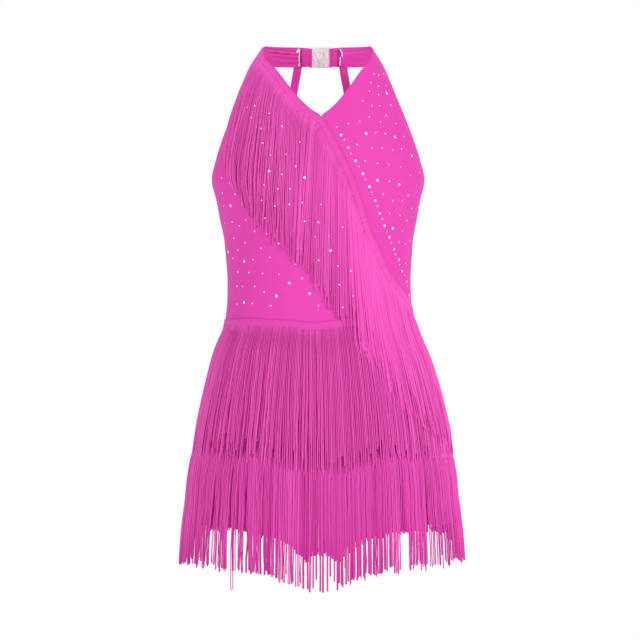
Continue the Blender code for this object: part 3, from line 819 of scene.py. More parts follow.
def turnSeams():
    rows, waist, backTop = allowance["rows"], form["waist"], form["backTopSide"]
    bodiceSide = np.linspace(waist + allowance["aboveWaist"], backTop - allowance["belowBackTop"], rows)
    shortsSide = np.linspace(allowance["shortsFoot"], waist - allowance["belowWaist"], rows)
    for sideName, turn in (("Left", sideTurn), ("Right", -sideTurn)):
        turnedSeam("sideAllowance" + sideName, np.full(rows, turn), bodiceSide * mm, "around")
        turnedSeam("shortsAllowance" + sideName, np.full(rows, turn), shortsSide * mm, "around")
    around = np.linspace(-sideTurn, 3 * sideTurn, allowance["waistColumns"])
    turnedSeam("waistAllowance", around, np.full(len(around), waist * mm), "up")


turnSeams()
print("seams turned")

# neckband: heights and widths in mm, across from the middle of the clasp
neckband = dict(
    top=14.0, bottom=-11.0, foldTop=13.0, foldBottom=-9.5, foldStart=27.0, barAt=13.2, barDepth=2.4,
    foldOutside=2.4, wall=1.2, tackGap=0.3, formCentre=-3.0, claspCentre=4.0, thick=1.0 * mm,
    rows=30, bandColumns=46, foldSteps=13, edgeTuck=0.4,
    # creases pressed into each half: across and height at either end, and how far the fold rises
    folds=[
        (-68, 11.0, -34, 8.6, 1.3), (-66, 9.0, -34, 6.4, -1.3), (-64, 6.5, -32, 4.2, 1.2),
        (-62, 4.0, -34, 2.4, -1.0), (-58, 0.5, -32, -0.8, 0.7), (-52, -4.5, -34, -4.0, -0.7),
        (-56, -7.6, -30, -7.2, 0.8), (34, 8.2, 62, 9.6, 0.7), (32, 5.6, 60, 6.6, -0.4),
        (34, -2.5, 60, -4.5, 0.35), (50, -8.0, 66, -4.0, -0.8),
    ],
    foldWidth=0.95, foldEase=(6, 4), tuckWidth=1.2, flapEnd={-1: 25.0, 1: 22.8},
    # small puckers round the bar, and the ripples and swing of the flap inside
    pucker=0.9, puckers=5.2, finePuckers=53, fineShare=0.5, puckerEase=3.0, roundBar=0.25,
    ripple=0.55, ripples=2.6, rippleStart=0.2, rippleEase=0.25, rippleDepth=0.9,
    swing=0.8, swingFrom=0.6, flapClear=0.25,
)


def bandPoint(across, height, out):
    z = height * mm
    return onForm(backTurn((across + neckband["claspCentre"]) * mm, z), z, out * mm)


def bandCreases(across, height):
    push = np.zeros(len(across))
    outer, inner = neckband["foldEase"]
    for firstAt, firstHeight, lastAt, lastHeight, rise in neckband["folds"]:
        t = np.clip((across - firstAt) / (lastAt - firstAt), 0, 1)
        off = height - (firstHeight + (lastHeight - firstHeight) * t)
        begun = easeStep(firstAt - outer, firstAt + inner, across)
        left = easeStep(lastAt + outer, lastAt - inner, across)
        push += rise * (begun * left) * np.exp(-((off / neckband["foldWidth"]) ** 2))
    return push


def bandEnd(side, rowShare, edge):
    # the end goes round the clasp's bar and its flap lies tacked inside: places across, and out from the form
    pucker = neckband["pucker"] * (
        math.sin(rowShare * neckband["puckers"] * 2 * math.pi + side)
        + neckband["fineShare"] * math.sin(rowShare * neckband["finePuckers"] + side)
    ) * float(easeStep(0.0, neckband["puckerEase"], edge))
    stops = []
    for turn in np.radians(np.linspace(90, -90, neckband["foldSteps"])):
        across = neckband["barAt"] - neckband["foldOutside"] * math.cos(turn)
        across += neckband["roundBar"] * pucker * math.cos(turn)
        stops.append((across, neckband["foldOutside"] * math.sin(turn) - neckband["barDepth"]))
    tacked = -2 * neckband["wall"] - neckband["tackGap"]
    flap = neckband["flapEnd"][side] - neckband["barAt"]
    for step in np.linspace(0, 1, neckband["foldSteps"])[1:]:
        ripple = pucker * neckband["ripple"]
        ripple *= math.sin(math.pi * (step * neckband["ripples"] + neckband["rippleStart"]))
        ripple *= float(easeStep(0.0, neckband["rippleEase"], step))
        swing = pucker * float(easeStep(neckband["swingFrom"], 1.0, step)) * neckband["swing"]
        out = tacked - neckband["flapClear"] - abs(ripple) * neckband["rippleDepth"]
        stops.append((neckband["barAt"] + flap * step + swing, out))
    return np.array(stops).T


def bandHalf(name, side):
    share = edgeShares(neckband["rows"])
    full = neckband["bottom"] + (neckband["top"] - neckband["bottom"]) * share
    narrow = neckband["foldBottom"] + (neckband["foldTop"] - neckband["foldBottom"]) * share
    rows = []
    for rowShare, high, low in zip(share, full, narrow):
        z = high * mm
        start = sideTurn + gapTurn(sideTurn, z, 2 * bodice["halfGap"])
        stop = backTurn((neckband["foldStart"] * side + neckband["claspCentre"]) * mm, z)
        stop = stop if side > 0 else 4 * sideTurn - stop
        turns = np.linspace(start, stop, neckband["bandColumns"]) * side
        across = onForm(turns, z)[:, 0] / mm - neckband["formCentre"] - neckband["claspCentre"]
        edge = min(rowShare, 1 - rowShare) * (neckband["top"] - neckband["bottom"])
        tuck = neckband["edgeTuck"] * float(easeStep(neckband["tuckWidth"], 0.0, edge))
        push = bandCreases(across, high) - tuck
        flapAcross, flapOut = bandEnd(side, rowShare, edge)
        flap = bandPoint(flapAcross * side, np.full(len(flapAcross), low), flapOut)
        rows.append(np.concatenate([onForm(turns, z, push * mm), flap]))
    points = np.array(rows)
    if side < 0:
        points = points[:, ::-1]
    return sheetFromPoints(name, points, neckband["thick"])


for sideName, side in (("Right", -1), ("Left", 1)):
    band = bandHalf("neckband" + sideName, side)
    # painted light: the band takes the lighter copy of the knit
    finishPiece(band, finishes["litTrim"], 60.0)
    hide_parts("neckband_" + sideName.lower())

for node in ("clasp_hook", "clasp_loop"):
    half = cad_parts[node]
    half.data.materials.clear()
    half.data.materials.append(finishes["plastic"])
print("neckband and clasp ready")

# straps, in mm
straps = dict(
    half=5.2, atBand={-1: 26.8, 1: 26.0}, atBack={-1: 56.8, 1: 56.0}, above=11.0, below=5.0,
    thickHalf=1.0, middle=-0.6, overBand=1.75, underBack=-1.7, pressed=0.8, bulge=0.12,
    roundWidth=0.022, rows=76, sides=20,
)


def backStrap(name, side):
    # a turned tube pressed flat: rounded faces and two creased edges
    top, bottom = neckband["bottom"] + straps["above"], form["backTopSide"] - straps["below"]
    share = np.linspace(1, 0, straps["rows"])
    height = top + (bottom - top) * share
    atBand, atBack = straps["atBand"][side], straps["atBack"][side]
    across = neckband["claspCentre"] + (atBand + (atBack - atBand) * share) * side
    # the ends are sewn on: over the outside of the band, and behind the hem of the back
    shift = straps["overBand"] * easeStep(neckband["bottom"] - 6, neckband["bottom"] - 0.5, height)
    shift = shift + straps["underBack"] * easeStep(form["backTopSide"] + 4, form["backTopSide"] - 1, height)
    turns = np.arange(straps["sides"]) / straps["sides"] * 2 * np.pi
    wide = np.sign(np.cos(turns)) * np.abs(np.cos(turns)) ** straps["pressed"]
    deep = np.sin(turns) * (1 + straps["bulge"] * np.cos(2 * turns))
    z = height[:, None] * mm + 0 * turns
    offset = across[:, None] - straps["half"] * wide[None, :]
    out = (straps["middle"] + straps["thickHalf"] * deep[None, :] + shift[:, None]) * mm + 0 * z
    rings = onForm(backTurn(offset * mm, z), z, out)
    length = np.concatenate([[0], np.cumsum(np.abs(np.diff(height)))]) * mm
    piece = meshFromTubes(name, ringFaces(rings[None], straps["roundWidth"], length[None]))
    selectOnly(piece)
    bpy.ops.object.mode_set(mode="EDIT")
    bpy.ops.mesh.select_all(action="SELECT")
    bpy.ops.mesh.normals_make_consistent(inside=False)
    bpy.ops.object.mode_set(mode="OBJECT")
    return piece


for sideName, side in (("Right", -1), ("Left", 1)):
    strap = backStrap("backStrap" + sideName, side)
    finishPiece(strap, finishes["litTrim"], 60.0)
    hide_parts("back_strap_" + sideName.lower())


def overlockThread():
    # one thread that loops over each raw edge of the allowances
    loops = []
    for edge, inward in stitches["overlock"]:
        run = runLength(edge, 0)
        at = np.arange(0, run[-1], allowance["loop"])
        outer, inner = pointsAt(at, run, edge), pointsAt(at, run, inward)
        swing = np.where(np.arange(len(at)) % 2 == 0, allowance["over"], allowance["reach"])[:, None]
        path = outer + (inner - outer) * swing
        facing = unit(np.cross(np.gradient(outer, axis=0), inner - outer))
        loops.append(tubesAlong(path[None], facing[None], allowance["thread"], 4))
    starts = np.cumsum([0] + [len(made[0]) for made in loops])
    vertices, quads, uv, caps = zip(*loops)
    quads = [faces + start for faces, start in zip(quads, starts)]
    caps = [faces + start for faces, start in zip(caps, starts)]
    thread = meshFromTubes("overlockThread", [np.concatenate(parts) for parts in (vertices, quads, uv, caps)])
    finishPiece(thread, finishes["pinkStitch"], 60.0)


overlockThread()
print("straps hung, raw edges overlocked")

# fringe: each pair of strands is one thread, looped at its end and sewn in ribs to the tape
strand = dict(
    sides=5, ribRadius=0.52 * mm, ribOut=1.3 * mm, ribUneven=0.25, tapeTop=0.7 * mm, foot=9.0 * mm,
    layerStep=1.3 * mm, layerShade=0.12, closest=0.75 * mm, unevenThick=(0.88, 1.12), loopReach=1.3,
    raggedLimits=(-0.10, 0.045), shortBy=(0.02, 0.12), clumpPower=0.9, gatherPower=1.5,
    # degrees round the form: calm at the front, gathered near the sides
    calm=0.6, calmFrom=(-32, 8), calmUntil=(110, 92), gatherFrom=(34, 48), gatherUntil=(82, 66),
    # shares of the tape over which diagonal strands hang straight, and of the drop over which locks part
    hangFrom=(0.06, 0.2), hangUntil=(0.97, 0.80), partFrom=(0.2, 0.72), partFade=7.0,
    # how the spread of the fall is felt, before the pairs are placed
    samples=600, feltAt=0.45, feltOut=5 * mm, evenShare=0.45, headerStep=0.012, turnSteps=400,
    # the ribs that hold the ends: shares of the foot and of how far they stand out, and mm less where hidden
    insideTape=(0.001, 0.999), ribFoot=0.45, ribShares=(1.0, 0.55), hiddenRib=0.55, underRib=0.15 * mm,
    # half the gap between legs, how soon they stand clear, and how their ends tuck in
    legGap=0.25, clearRun=8, tuckPower=5, thinRun=0.25,
    # the diagonal is painted lighter towards its far end: painted light
    lockTone=0.08, paintedLightAlong=0.3, smoothUntil=(0.7, 0.4), smoothRun=6,
    # how far a strand runs square to the diagonal tape before it falls: place along the tape, mm
    settle=[(0, 17), (0.12, 15), (0.2, 11), (0.28, 7), (0.5, 4), (1, 1.5)],
)


def diagonalPoint(height):
    return formPoint(diagonalAt(height, "turn"), height * mm)


diagonalKeys = np.linspace(12, -313, 500)       # heights down the header, in mm
diagonalRun = runLength(diagonalPoint(diagonalKeys), 0)


def diagonalPlace(position, drop, onTape):
    # angle and z at a position along the header; drop is metres down the tape, or the share of the strand
    def heightAt(share):
        return np.interp(share, diagonalRun / diagonalRun[-1], diagonalKeys)

    height = heightAt(position)
    angle, z = diagonalAt(height, "turn"), height * mm
    step = strand["headerStep"]
    header = diagonalPoint(heightAt(position + step)) - diagonalPoint(heightAt(position - step))
    down = unit(np.cross(header, formNormal(angle, z)))
    if onTape:
        return slideOnForm(angle, z, down * np.asarray(drop)[..., None])
    footTurn, footZ = slideOnForm(angle, z, down * strand["foot"])
    settle = readPairs(strand["settle"], position) * mm
    leadTurn, leadZ = slideOnForm(angle, z, down * (strand["foot"] + settle)[..., None])
    endTurn, endZ = diagonalAt(height, "endTurn"), diagonalAt(height, "endZ") * mm
    # a strand leaves the tape square to it, and settles into its fall
    settled = settle / (footZ - endZ)
    square = 1 - np.exp(-drop / settled)
    rest = (drop - settled * square) / (1 - settled)
    bentTurn = footTurn + (leadTurn - footTurn) * square + (endTurn - leadTurn) * rest
    z = footZ + (leadZ - footZ) * square + (endZ - leadZ) * rest
    foot, lead, end = (
        formPoint(*at)[..., 0] for at in ((footTurn, footZ), (leadTurn, leadZ), (endTurn, endZ))
    )
    straightTurn = frontTurn(foot + (lead - foot) * square + (end - lead) * rest, z)
    hang = easeStep(*strand["hangFrom"], position) * easeStep(*strand["hangUntil"], position)
    return bentTurn + (straightTurn - bentTurn) * hang, z


# the waist tape rides a little up and down across the front: at this angle, over this many degrees, mm
tapeSags = [(-3, 11, -4.1), (-23, 9, -1.0), (-43, 9, 0.7)]


def tierPlacer(tier, top, firstTurn, lastTurn):
    keys = np.linspace(firstTurn, lastTurn, strand["turnSteps"])
    run = runLength(formPoint(keys, np.full(keys.shape, top * mm)), 0)

    def place(position, drop, onTape):
        angle = np.interp(position, run / run[-1], keys)
        angle = angle + (lastTurn - firstTurn) * (np.minimum(position, 0) + np.maximum(position - 1, 0))
        sag = 0.0
        if tier == "waist":
            sag = sum(rise * np.exp(-(((angle - at) / half) ** 2)) for at, half, rise in tapeSags) * mm
        if onTape:
            return angle, top * mm + sag - np.asarray(drop) + 0 * angle
        end = readTable(form["tierEnds"], fromFront(angle), tier) * mm
        foot = (top - strand["foot"] / mm) * mm + sag
        return angle, foot + (end - foot) * drop

    return place, run[-1]


def standOff(tier, z, angle):
    # the lower tier comes forward only below the ends of the tier over it
    lower = 0.0
    if tier == "lower":
        lower = form["sideEnd"] - readTable(form["tierEnds"], fromFront(angle), "waist")
    return readTable(form["standOff"], z / mm + lower, tier) * mm


# lengths as shares of the strand, places along the tape as shares of it, pulls and sways in mm
# each fringe's tone is partly painted light and shade: the diagonal is painted lighter and the lower tier
# darker than the waist tier, for how the light falls on each
everyTier = dict(
    tier="waist", steps=16, bunch=1.25, beyond=0.012, radius=0.60,
    tone=0.74, uneven=0.15, endShade=0.0, shadePower=6, showRibs=0.35, smoothTop=0.0, thinTop=0.36,
    ragged=0.018, raggedAlong=0, lockRagged=0.026, short=0.2, shortAlong=0, endSpread=(0.06, 0.06),
    smallLock=(1, 4), largeLock=(4, 9), clump=0.05, gather=0.035, sideGather=(0.10, 0.03),
    sway=0.48, wobble=0.42, stray=0.7, layered=1.0, tuck=1.0,
)
lowerTier = dict(
    everyTier, tier="lower", beyond=0.011, radius=0.66, tone=0.47, endShade=0.36,
    ragged=0.014, lockRagged=0.018, short=0.08, endSpread=(0, 0),
    largeLock=(3, 7), gather=0.045, sideGather=(0.34, 0.12),
    sway=0.5, wobble=0.34, stray=0.5, layered=0.8, tuck=0.0,
)
fringes = dict(
    diagonal=dict(
        everyTier, tier="diagonal", seed=5, pairs=285, steps=20, bunch=1.6, beyond=0.0, radius=0.56,
        tone=0.92, uneven=0.22, endShade=0.15, shadePower=2, showRibs=1.0, smoothTop=0.65, thinTop=0.10,
        ragged=0.014, raggedAlong=2.2, lockRagged=0.014, short=0.14, shortAlong=0.35, endSpread=(0.0, 0.20),
        clump=0.06, gather=0.05, sideGather=(0, 0), sway=0.7, wobble=0.5, stray=0.8, tuck=1.6,
    ),
    waistFront=dict(everyTier, seed=7, pairs=228, short=0.30, endSpread=(0.16, -0.09)),
    waistBack=dict(everyTier, seed=8, pairs=200),
    lowerFront=dict(lowerTier, seed=9, pairs=306),
    lowerBack=dict(lowerTier, seed=10, pairs=235),
)
# how closely a fringe hangs: distance across in mm, and its share
crowding = dict(
    lowerFront=[
        (-175, 1.7), (-155, 1.5), (-145, 1.25), (-92, 1.2), (-84, 1.3), (-52, 1.3), (-42, 1.2), (14, 1.15),
        (24, 1.2), (60, 1.35), (98, 1.3), (113, 1.6), (128, 1.5), (136, 1.3), (150, 1.3), (175, 1.6),
    ],
    diagonal=[(-120, 1.0), (40, 1.0), (80, 1.3), (150, 1.5)],
    waistFront=[(-170, 1.0), (65, 1.0), (95, 1.3), (160, 1.35)],
)
# the share of strands that reach no lower than the hem: distance across in mm, and share
stopShort = dict(lowerFront=[
    (-155, 0.04), (-147, 0.34), (-137, 0.34), (-127, 0.18), (-105, 0.22), (-92, 0.25), (-84, 0.16),
    (-62, 0.04), (-52, 0.0), (-42, 0.26), (-30, 0.48), (-18, 0.56), (14, 0.6), (24, 0.34), (40, 0.2),
    (50, 0.22), (85, 0.24), (92, 0.1), (100.2, 0.0), (100.4, 1.0), (109.6, 1.0), (109.8, 0.0),
    (130, 0.0), (134, 0.5), (145, 0.45), (151, 0.3), (160, 0.42), (168, 0.42),
])
# where locks of the lower front part, at their ends: distance across, half width, in mm
partings = dict(lowerFront=[
    (-137, 1.6), (-128, 1.6), (-112, 2.6), (-103, 1.8), (-94, 2.2), (-71, 1.2), (-40, 0.8), (105, 0.5),
    (137, 0.8), (146, 0.6),
])
# single strands left long: distance across in mm, and how much longer
longStrands = dict(lowerFront=[(-110, 1.16)])


def lockNumbers(rng, pairs, small, large):
    # which lock each pair of strands falls in
    start, number, locks = 0, 0, np.zeros(pairs, int)
    while start < pairs:
        width = int(rng.integers(small, large + 1))
        locks[start:start + width] = number
        start += width
        number += 1
    return locks


def tipAcross(tier, turn, z):
    # how far across the front a point of the fringe hangs, in mm
    return onForm(turn, z, standOff(tier, z, turn), hasLegs=False)[..., 0] / mm


# small differences between strands: depths in mm, turns of a wave along a strand
wander = dict(
    jitter=0.12, smallShare=0.5, smallTurns=(0.6, 1.6), largeShare=0.7, largeTurns=(0.3, 0.9),
    ownTurns=(1.5, 4.5), lean=0.6, leanPower=1.8, strayPower=1.4, hemShares=(0.97, 1.0),
    lockDepth=0.35, ownDepth=0.3, waveDepth=0.12, depthTurns=(1.0, 3.0), looseDepth=3.5,
)


def crowdPairs(rng, name, place, facts):
    # places along the tape: pairs crowd where their fall spreads, and where the table says
    samples = strand["samples"]
    fine = np.linspace(-facts["beyond"], 1 + facts["beyond"], samples)
    falling = place(fine, np.full(samples, strand["feltAt"]), False)
    falling = onForm(*falling, strand["feltOut"], hasLegs=False)
    spread = np.linalg.norm(np.gradient(falling, axis=0) * np.array([1, 1, 0]), axis=1)
    density = strand["evenShare"] + (1 - strand["evenShare"]) * spread / spread.mean()
    if name in crowding:
        tips = tipAcross(facts["tier"], *place(fine, np.ones(samples), False))
        density = density * readPairs(crowding[name], tips)
    counted = np.concatenate([[0], np.cumsum((density[1:] + density[:-1]) / 2)])
    pairs = facts["pairs"]
    jitter = wander["jitter"]
    spots = (np.arange(pairs) + 0.5 + rng.uniform(-jitter, jitter, pairs)) / pairs
    return np.interp(spots * counted[-1], counted, fine)


def raggedLengths(rng, facts, centre, small):
    # ragged by pair and by lock, and some well short
    pairs, (least, spread) = len(centre), strand["shortBy"]
    uneven = rng.normal(0, facts["ragged"], pairs)
    uneven = uneven + rng.normal(0, facts["lockRagged"], small.max() + 1)[small]
    length = 1 + np.clip(uneven * (1 + facts["raggedAlong"] * centre), *strand["raggedLimits"])
    isShort = rng.uniform(0, 1, pairs) < facts["short"] + facts["shortAlong"] * centre
    spread = spread + np.interp(centre, [0, 1], facts["endSpread"])
    return length - np.where(isShort, least + rng.uniform(0, 1, pairs) * spread, 0)


def lockPull(legs, centre, locks, strength, along):
    # how far each strand is drawn to the middle of its lock
    middle = np.array([centre[locks == number].mean() for number in range(locks.max() + 1)])[locks]
    return (middle[:, None] - legs)[..., None] * (strength[:, None, None] * along)


def waves(rng, t, groups, strength, lowTurns, highTurns):
    # each group of strands bends in its own slow wave
    count = groups.max() + 1
    phase = rng.uniform(0, 2 * np.pi, count)[groups][:, None, None]
    turns = rng.uniform(lowTurns, highTurns, count)[groups][:, None, None]
    size = rng.normal(0, strength, count)[groups][:, None, None]
    return size * (np.sin(phase + turns * 2 * np.pi * t) - np.sin(phase)) * np.minimum(t * 3, 1)


def swayAcross(rng, facts, small, large, t):
    # how far each strand wanders along the tape, in mm
    pairs = len(small)
    across = waves(rng, t, small, facts["sway"] * wander["smallShare"], *wander["smallTurns"])
    across = across + waves(rng, t, large, facts["sway"] * wander["largeShare"], *wander["largeTurns"])
    across = across + waves(rng, t, np.arange(pairs), facts["wobble"], *wander["ownTurns"])
    lean = rng.normal(0, facts["sway"] * wander["lean"], large.max() + 1)[large][:, None, None]
    across = across + lean * t ** wander["leanPower"]
    return across + rng.normal(0, facts["stray"], (pairs, 2))[..., None] * t ** wander["strayPower"]


def stopAtHem(rng, name, tier, length, angle, z):
    # an even share of the strands reaches no lower than the hem of the shorts
    tipTurn, tipZ, topZ = angle[:, 0, -1], z[:, 0, -1], z[:, 0, 0]
    stopping = readPairs(stopShort[name], tipAcross(tier, tipTurn, tipZ))
    counted = np.cumsum(stopping)
    toHem = (readTable(form["hem"], fromFront(tipTurn), "z") * mm - topZ) / (tipZ - topZ)
    toHem = toHem * rng.uniform(*wander["hemShares"], len(length))
    return np.where(np.floor(counted) > np.floor(counted - stopping), length * toHem, length)


def depthBehind(rng, facts, centre, small, t):
    # one leg of each pair hangs in front and the other behind it
    pairs = len(centre)
    depth = np.array([0.0, 1.0])[None, :, None] * facts["layered"] * strand["layerStep"]
    depth = depth + rng.uniform(0, wander["lockDepth"], small.max() + 1)[small][:, None, None] * mm
    depth = depth + rng.uniform(0, wander["ownDepth"], (pairs, 2))[..., None] * mm
    depth = depth + waves(rng, t, np.arange(pairs), wander["waveDepth"], *wander["depthTurns"]) * mm
    loose = rng.uniform(0, 1.0, pairs)[:, None, None] * facts["shortAlong"] * wander["looseDepth"] * mm
    return depth + loose * centre[:, None, None]


def sewnEnds(place, legs, facts):
    # the ribs that hold both ends of each pair on the tape
    drops = np.array([strand["tapeTop"], strand["foot"] * strand["ribFoot"]])
    onStrip = np.clip(legs, *strand["insideTape"])[..., None] + 0 * drops
    angle, z = place(onStrip, np.broadcast_to(drops, onStrip.shape), True)
    out = strand["ribOut"] * np.array(strand["ribShares"])[None, :, None]
    out = out - (1 - facts["showRibs"]) * strand["hiddenRib"] * mm
    return onForm(angle, z, out + 0 * angle, hasLegs=False), formNormal(angle, z, hasLegs=False)


def loopedTips(hanging):
    # three points round the loop at the end of each pair
    tips, above = hanging[:, :, -1], hanging[:, :, -2]
    middle, half = (tips[:, 0] + tips[:, 1]) / 2, (tips[:, 0] - tips[:, 1]) / 2
    down = unit((tips[:, 0] - above[:, 0]) + (tips[:, 1] - above[:, 1]))
    reach = np.maximum(np.linalg.norm(half, axis=-1, keepdims=True), 0.5 * mm) * strand["loopReach"]
    return np.stack([
        middle + half * math.cos(turn) + down * reach * math.sin(turn)
        for turn in (math.pi / 4, math.pi / 2, 3 * math.pi / 4)
    ], axis=1)


def oneThread(ends, legs, tips):
    # from the tape down one leg, round the loop and up the other leg
    return np.concatenate([ends[:, 0], legs[:, 0], tips, legs[:, 1, ::-1], ends[:, 1, ::-1]], axis=1)


def threadTones(rng, facts, centre, small, along):
    # each thread's tone: painted shade on its hind leg, which the front leg would shade, and painted shade
    # towards its end
    differ = rng.normal(0, strand["lockTone"], small.max() + 1)[small]
    differ = differ + rng.normal(0, facts["uneven"], len(centre))
    # painted light: the diagonal grows lighter along its tape
    tone = facts["tone"] + strand["paintedLightAlong"] * facts["shortAlong"] * centre
    behind = np.zeros(len(along))
    behind[facts["steps"] + 3:-2] = strand["layerShade"] * facts["layered"]
    smooth = facts["smoothTop"] * easeStep(*strand["smoothUntil"], centre)[:, None]
    smooth = smooth * (1 - np.minimum(along * strand["smoothRun"], 1))
    shade = facts["endShade"] * along ** facts["shadePower"]
    even = np.ones(len(along))
    even[:2], even[-2:] = strand["ribUneven"], strand["ribUneven"]
    tones = tone[:, None] + differ[:, None] * even * (1 - smooth) - behind - shade
    return np.repeat(np.clip(tones, 0, 1).ravel(), strand["sides"])


def hangFringe(name, node, place, tapeLength, facts):
    rng = np.random.default_rng(facts["seed"])
    tier, pairs = facts["tier"], facts["pairs"]
    centre = crowdPairs(rng, name, place, facts)
    half = strand["legGap"] * np.gradient(centre)
    legs = np.stack([centre - half, centre + half], axis=1)
    drops = np.linspace(0, 1, facts["steps"]) ** facts["bunch"]
    t = drops[None, None, :]
    small = lockNumbers(rng, pairs, *facts["smallLock"])
    large = lockNumbers(rng, pairs, *facts["largeLock"])
    length = raggedLengths(rng, facts, centre, small)

    # strands hang calmly at the front, and gather in heavier locks near the sides
    rootTurn = place(centre, np.zeros(pairs), False)[0]
    calm = easeStep(*strand["calmFrom"], rootTurn) * easeStep(*strand["calmUntil"], rootTurn)
    calm = 1 - strand["calm"] * calm
    aside = fromFront(rootTurn)
    aside = np.minimum(aside, 2 * sideTurn - aside)
    sideways = easeStep(*strand["gatherFrom"], aside) * easeStep(*strand["gatherUntil"], aside)
    clump = facts["clump"] * calm
    gather = facts["gather"] * calm + sideways * np.where(rootTurn < 0, *facts["sideGather"])
    position = legs[..., None] + lockPull(legs, centre, small, clump, t ** strand["clumpPower"])
    position = position + lockPull(legs, centre, large, gather, t ** strand["gatherPower"])
    across = swayAcross(rng, facts, small, large, t) * mm
    across = across * (calm * (1 - facts["shortAlong"] * centre))[:, None, None]
    position = position + across / tapeLength

    def fall():
        return place(position, t * length[:, None, None] + 0 * position, False)

    angle, z = fall()
    for partAt, partHalf in partings.get(name, ()):
        x = tipAcross(tier, angle[..., -1:], z[..., -1:]).mean(axis=1, keepdims=True)
        away = np.sign(x - partAt) * partHalf * np.exp(-np.abs(x - partAt) / strand["partFade"])
        position = position + away * mm / tapeLength * easeStep(*strand["partFrom"], t)
        angle, z = fall()
    if name in stopShort:
        length = stopAtHem(rng, name, tier, length, angle, z)
        angle, z = fall()
    for strandAt, longer in longStrands.get(name, ()):
        tip = tipAcross(tier, angle[:, 0, -1], z[:, 0, -1])
        length[np.argmin(np.abs(tip - strandAt))] = longer
        angle, z = fall()

    depth = depthBehind(rng, facts, centre, small, t)
    radius, under = facts["radius"] * mm, strand["ribOut"] - strand["underRib"]
    clear = standOff(tier, z, angle) - radius - depth - under
    out = under + clear * np.minimum(t * strand["clearRun"], 1)
    out = out - facts["tuck"] * mm * t ** strand["tuckPower"]
    hanging = onForm(angle, z, np.maximum(out, strand["closest"]), hasLegs=False)
    facing = formNormal(angle, z, hasLegs=False)
    ribs, ribFacing = sewnEnds(place, legs, facts)
    paths = oneThread(ribs, hanging, loopedTips(hanging))
    normals = oneThread(ribFacing, facing, np.repeat(facing[:, :1, -1], 3, axis=1))

    along = np.concatenate([[0, 0], drops, [1, 1, 1], drops[::-1], [0, 0]])
    thick = radius * rng.uniform(*strand["unevenThick"], pairs)[:, None]
    thick = thick * (1 - facts["thinTop"] * easeStep(strand["thinRun"], 0.0, along))
    thick[:, :2], thick[:, -2:] = strand["ribRadius"], strand["ribRadius"]
    threads = tubesAlong(paths, normals, thick, strand["sides"])
    piece = meshFromTubes(name + "Fringe", threads, threadTones(rng, facts, centre, small, along))
    finishPiece(piece, finishes["thread"], 80.0)
    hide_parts(node)
    return hanging


tape = dict(
    edge=0.3 * mm, rounded=0.8 * mm, thick=0.5 * mm, columnPitch=2.5 * mm, rows=7,
    # the chain stitch across the ribs: two rows, down the tape in shares of it
    stitchRows=(0.10, 0.90), beadPitch=1.3 * mm, beadRise=0.10 * mm, cordRadius=0.32 * mm, cordTone=0.6,
    # how far the tape and its stitching stand out in mm, where ribs show and where they are covered
    ribbed=(0.95, 1.55), covered=(1.62, 1.62),
)


def tapeStrip(name, place, tapeLength):
    # flat woven strip under the ribs, and the rows of chain stitch across them
    face, stitched = tape["ribbed" if fringes[name]["showRibs"] > 0.5 else "covered"]
    position = np.linspace(0, 1, int(tapeLength / tape["columnPitch"]))[None, :]
    down = np.linspace(strand["foot"], tape["edge"], tape["rows"])[:, None]
    angle, z = place(position + 0 * down, down + 0 * position, True)
    fromEdge = np.minimum(down - tape["edge"], strand["foot"] - down)
    out = face * mm - tape["edge"] * easeStep(tape["rounded"], 0, fromEdge) + 0 * angle
    strip = sheetFromPoints(name + "Tape", onForm(angle, z, out, hasLegs=False), tape["thick"])
    finishPiece(strip, finishes["tape"], 60.0)
    0.009 * tapeLength

    beads = int(tapeLength / tape["beadPitch"])
    down = strand["foot"] * np.array(tape["stitchRows"])[:, None] + np.zeros(beads)
    angle, z = place(np.linspace(0.001, 0.999, beads) + 0 * down, down, True)
    out = stitched * mm + tape["beadRise"] * np.cos(np.arange(beads) * np.pi) + 0 * down
    paths, normals = onForm(angle, z, out, hasLegs=False), formNormal(angle, z, hasLegs=False)
    tubes = tubesAlong(paths, normals, tape["cordRadius"], 5)
    cords = meshFromTubes(name + "TapeStitch", tubes, tape["cordTone"])
    finishPiece(cords, finishes["thread"], 80.0)


# each fringe's node, the way its strands are placed and the length of its tape
waistTape, lowerTape, sideGap = -327.5, -460.0, 0.3
frontHalf = sideGap - sideTurn, sideTurn - sideGap
backHalf = sideTurn + sideGap, 3 * sideTurn - sideGap
placers = dict(
    diagonal=("fringe_diagonal", diagonalPlace, diagonalRun[-1]),
    waistFront=("fringe_waist_front", *tierPlacer("waist", waistTape, *frontHalf)),
    waistBack=("fringe_waist_back", *tierPlacer("waist", waistTape, *backHalf)),
    lowerFront=("fringe_lower_front", *tierPlacer("lower", lowerTape, *frontHalf)),
    lowerBack=("fringe_lower_back", *tierPlacer("lower", lowerTape, *backHalf)),
)
fringeSurface = {}
for name, (node, place, length) in placers.items():
    fringeSurface[name] = hangFringe(name, node, place, length, fringes[name])
    tapeStrip(name, place, length)
    print("fringe hung:", name, "tape", round(length, 3), "m")

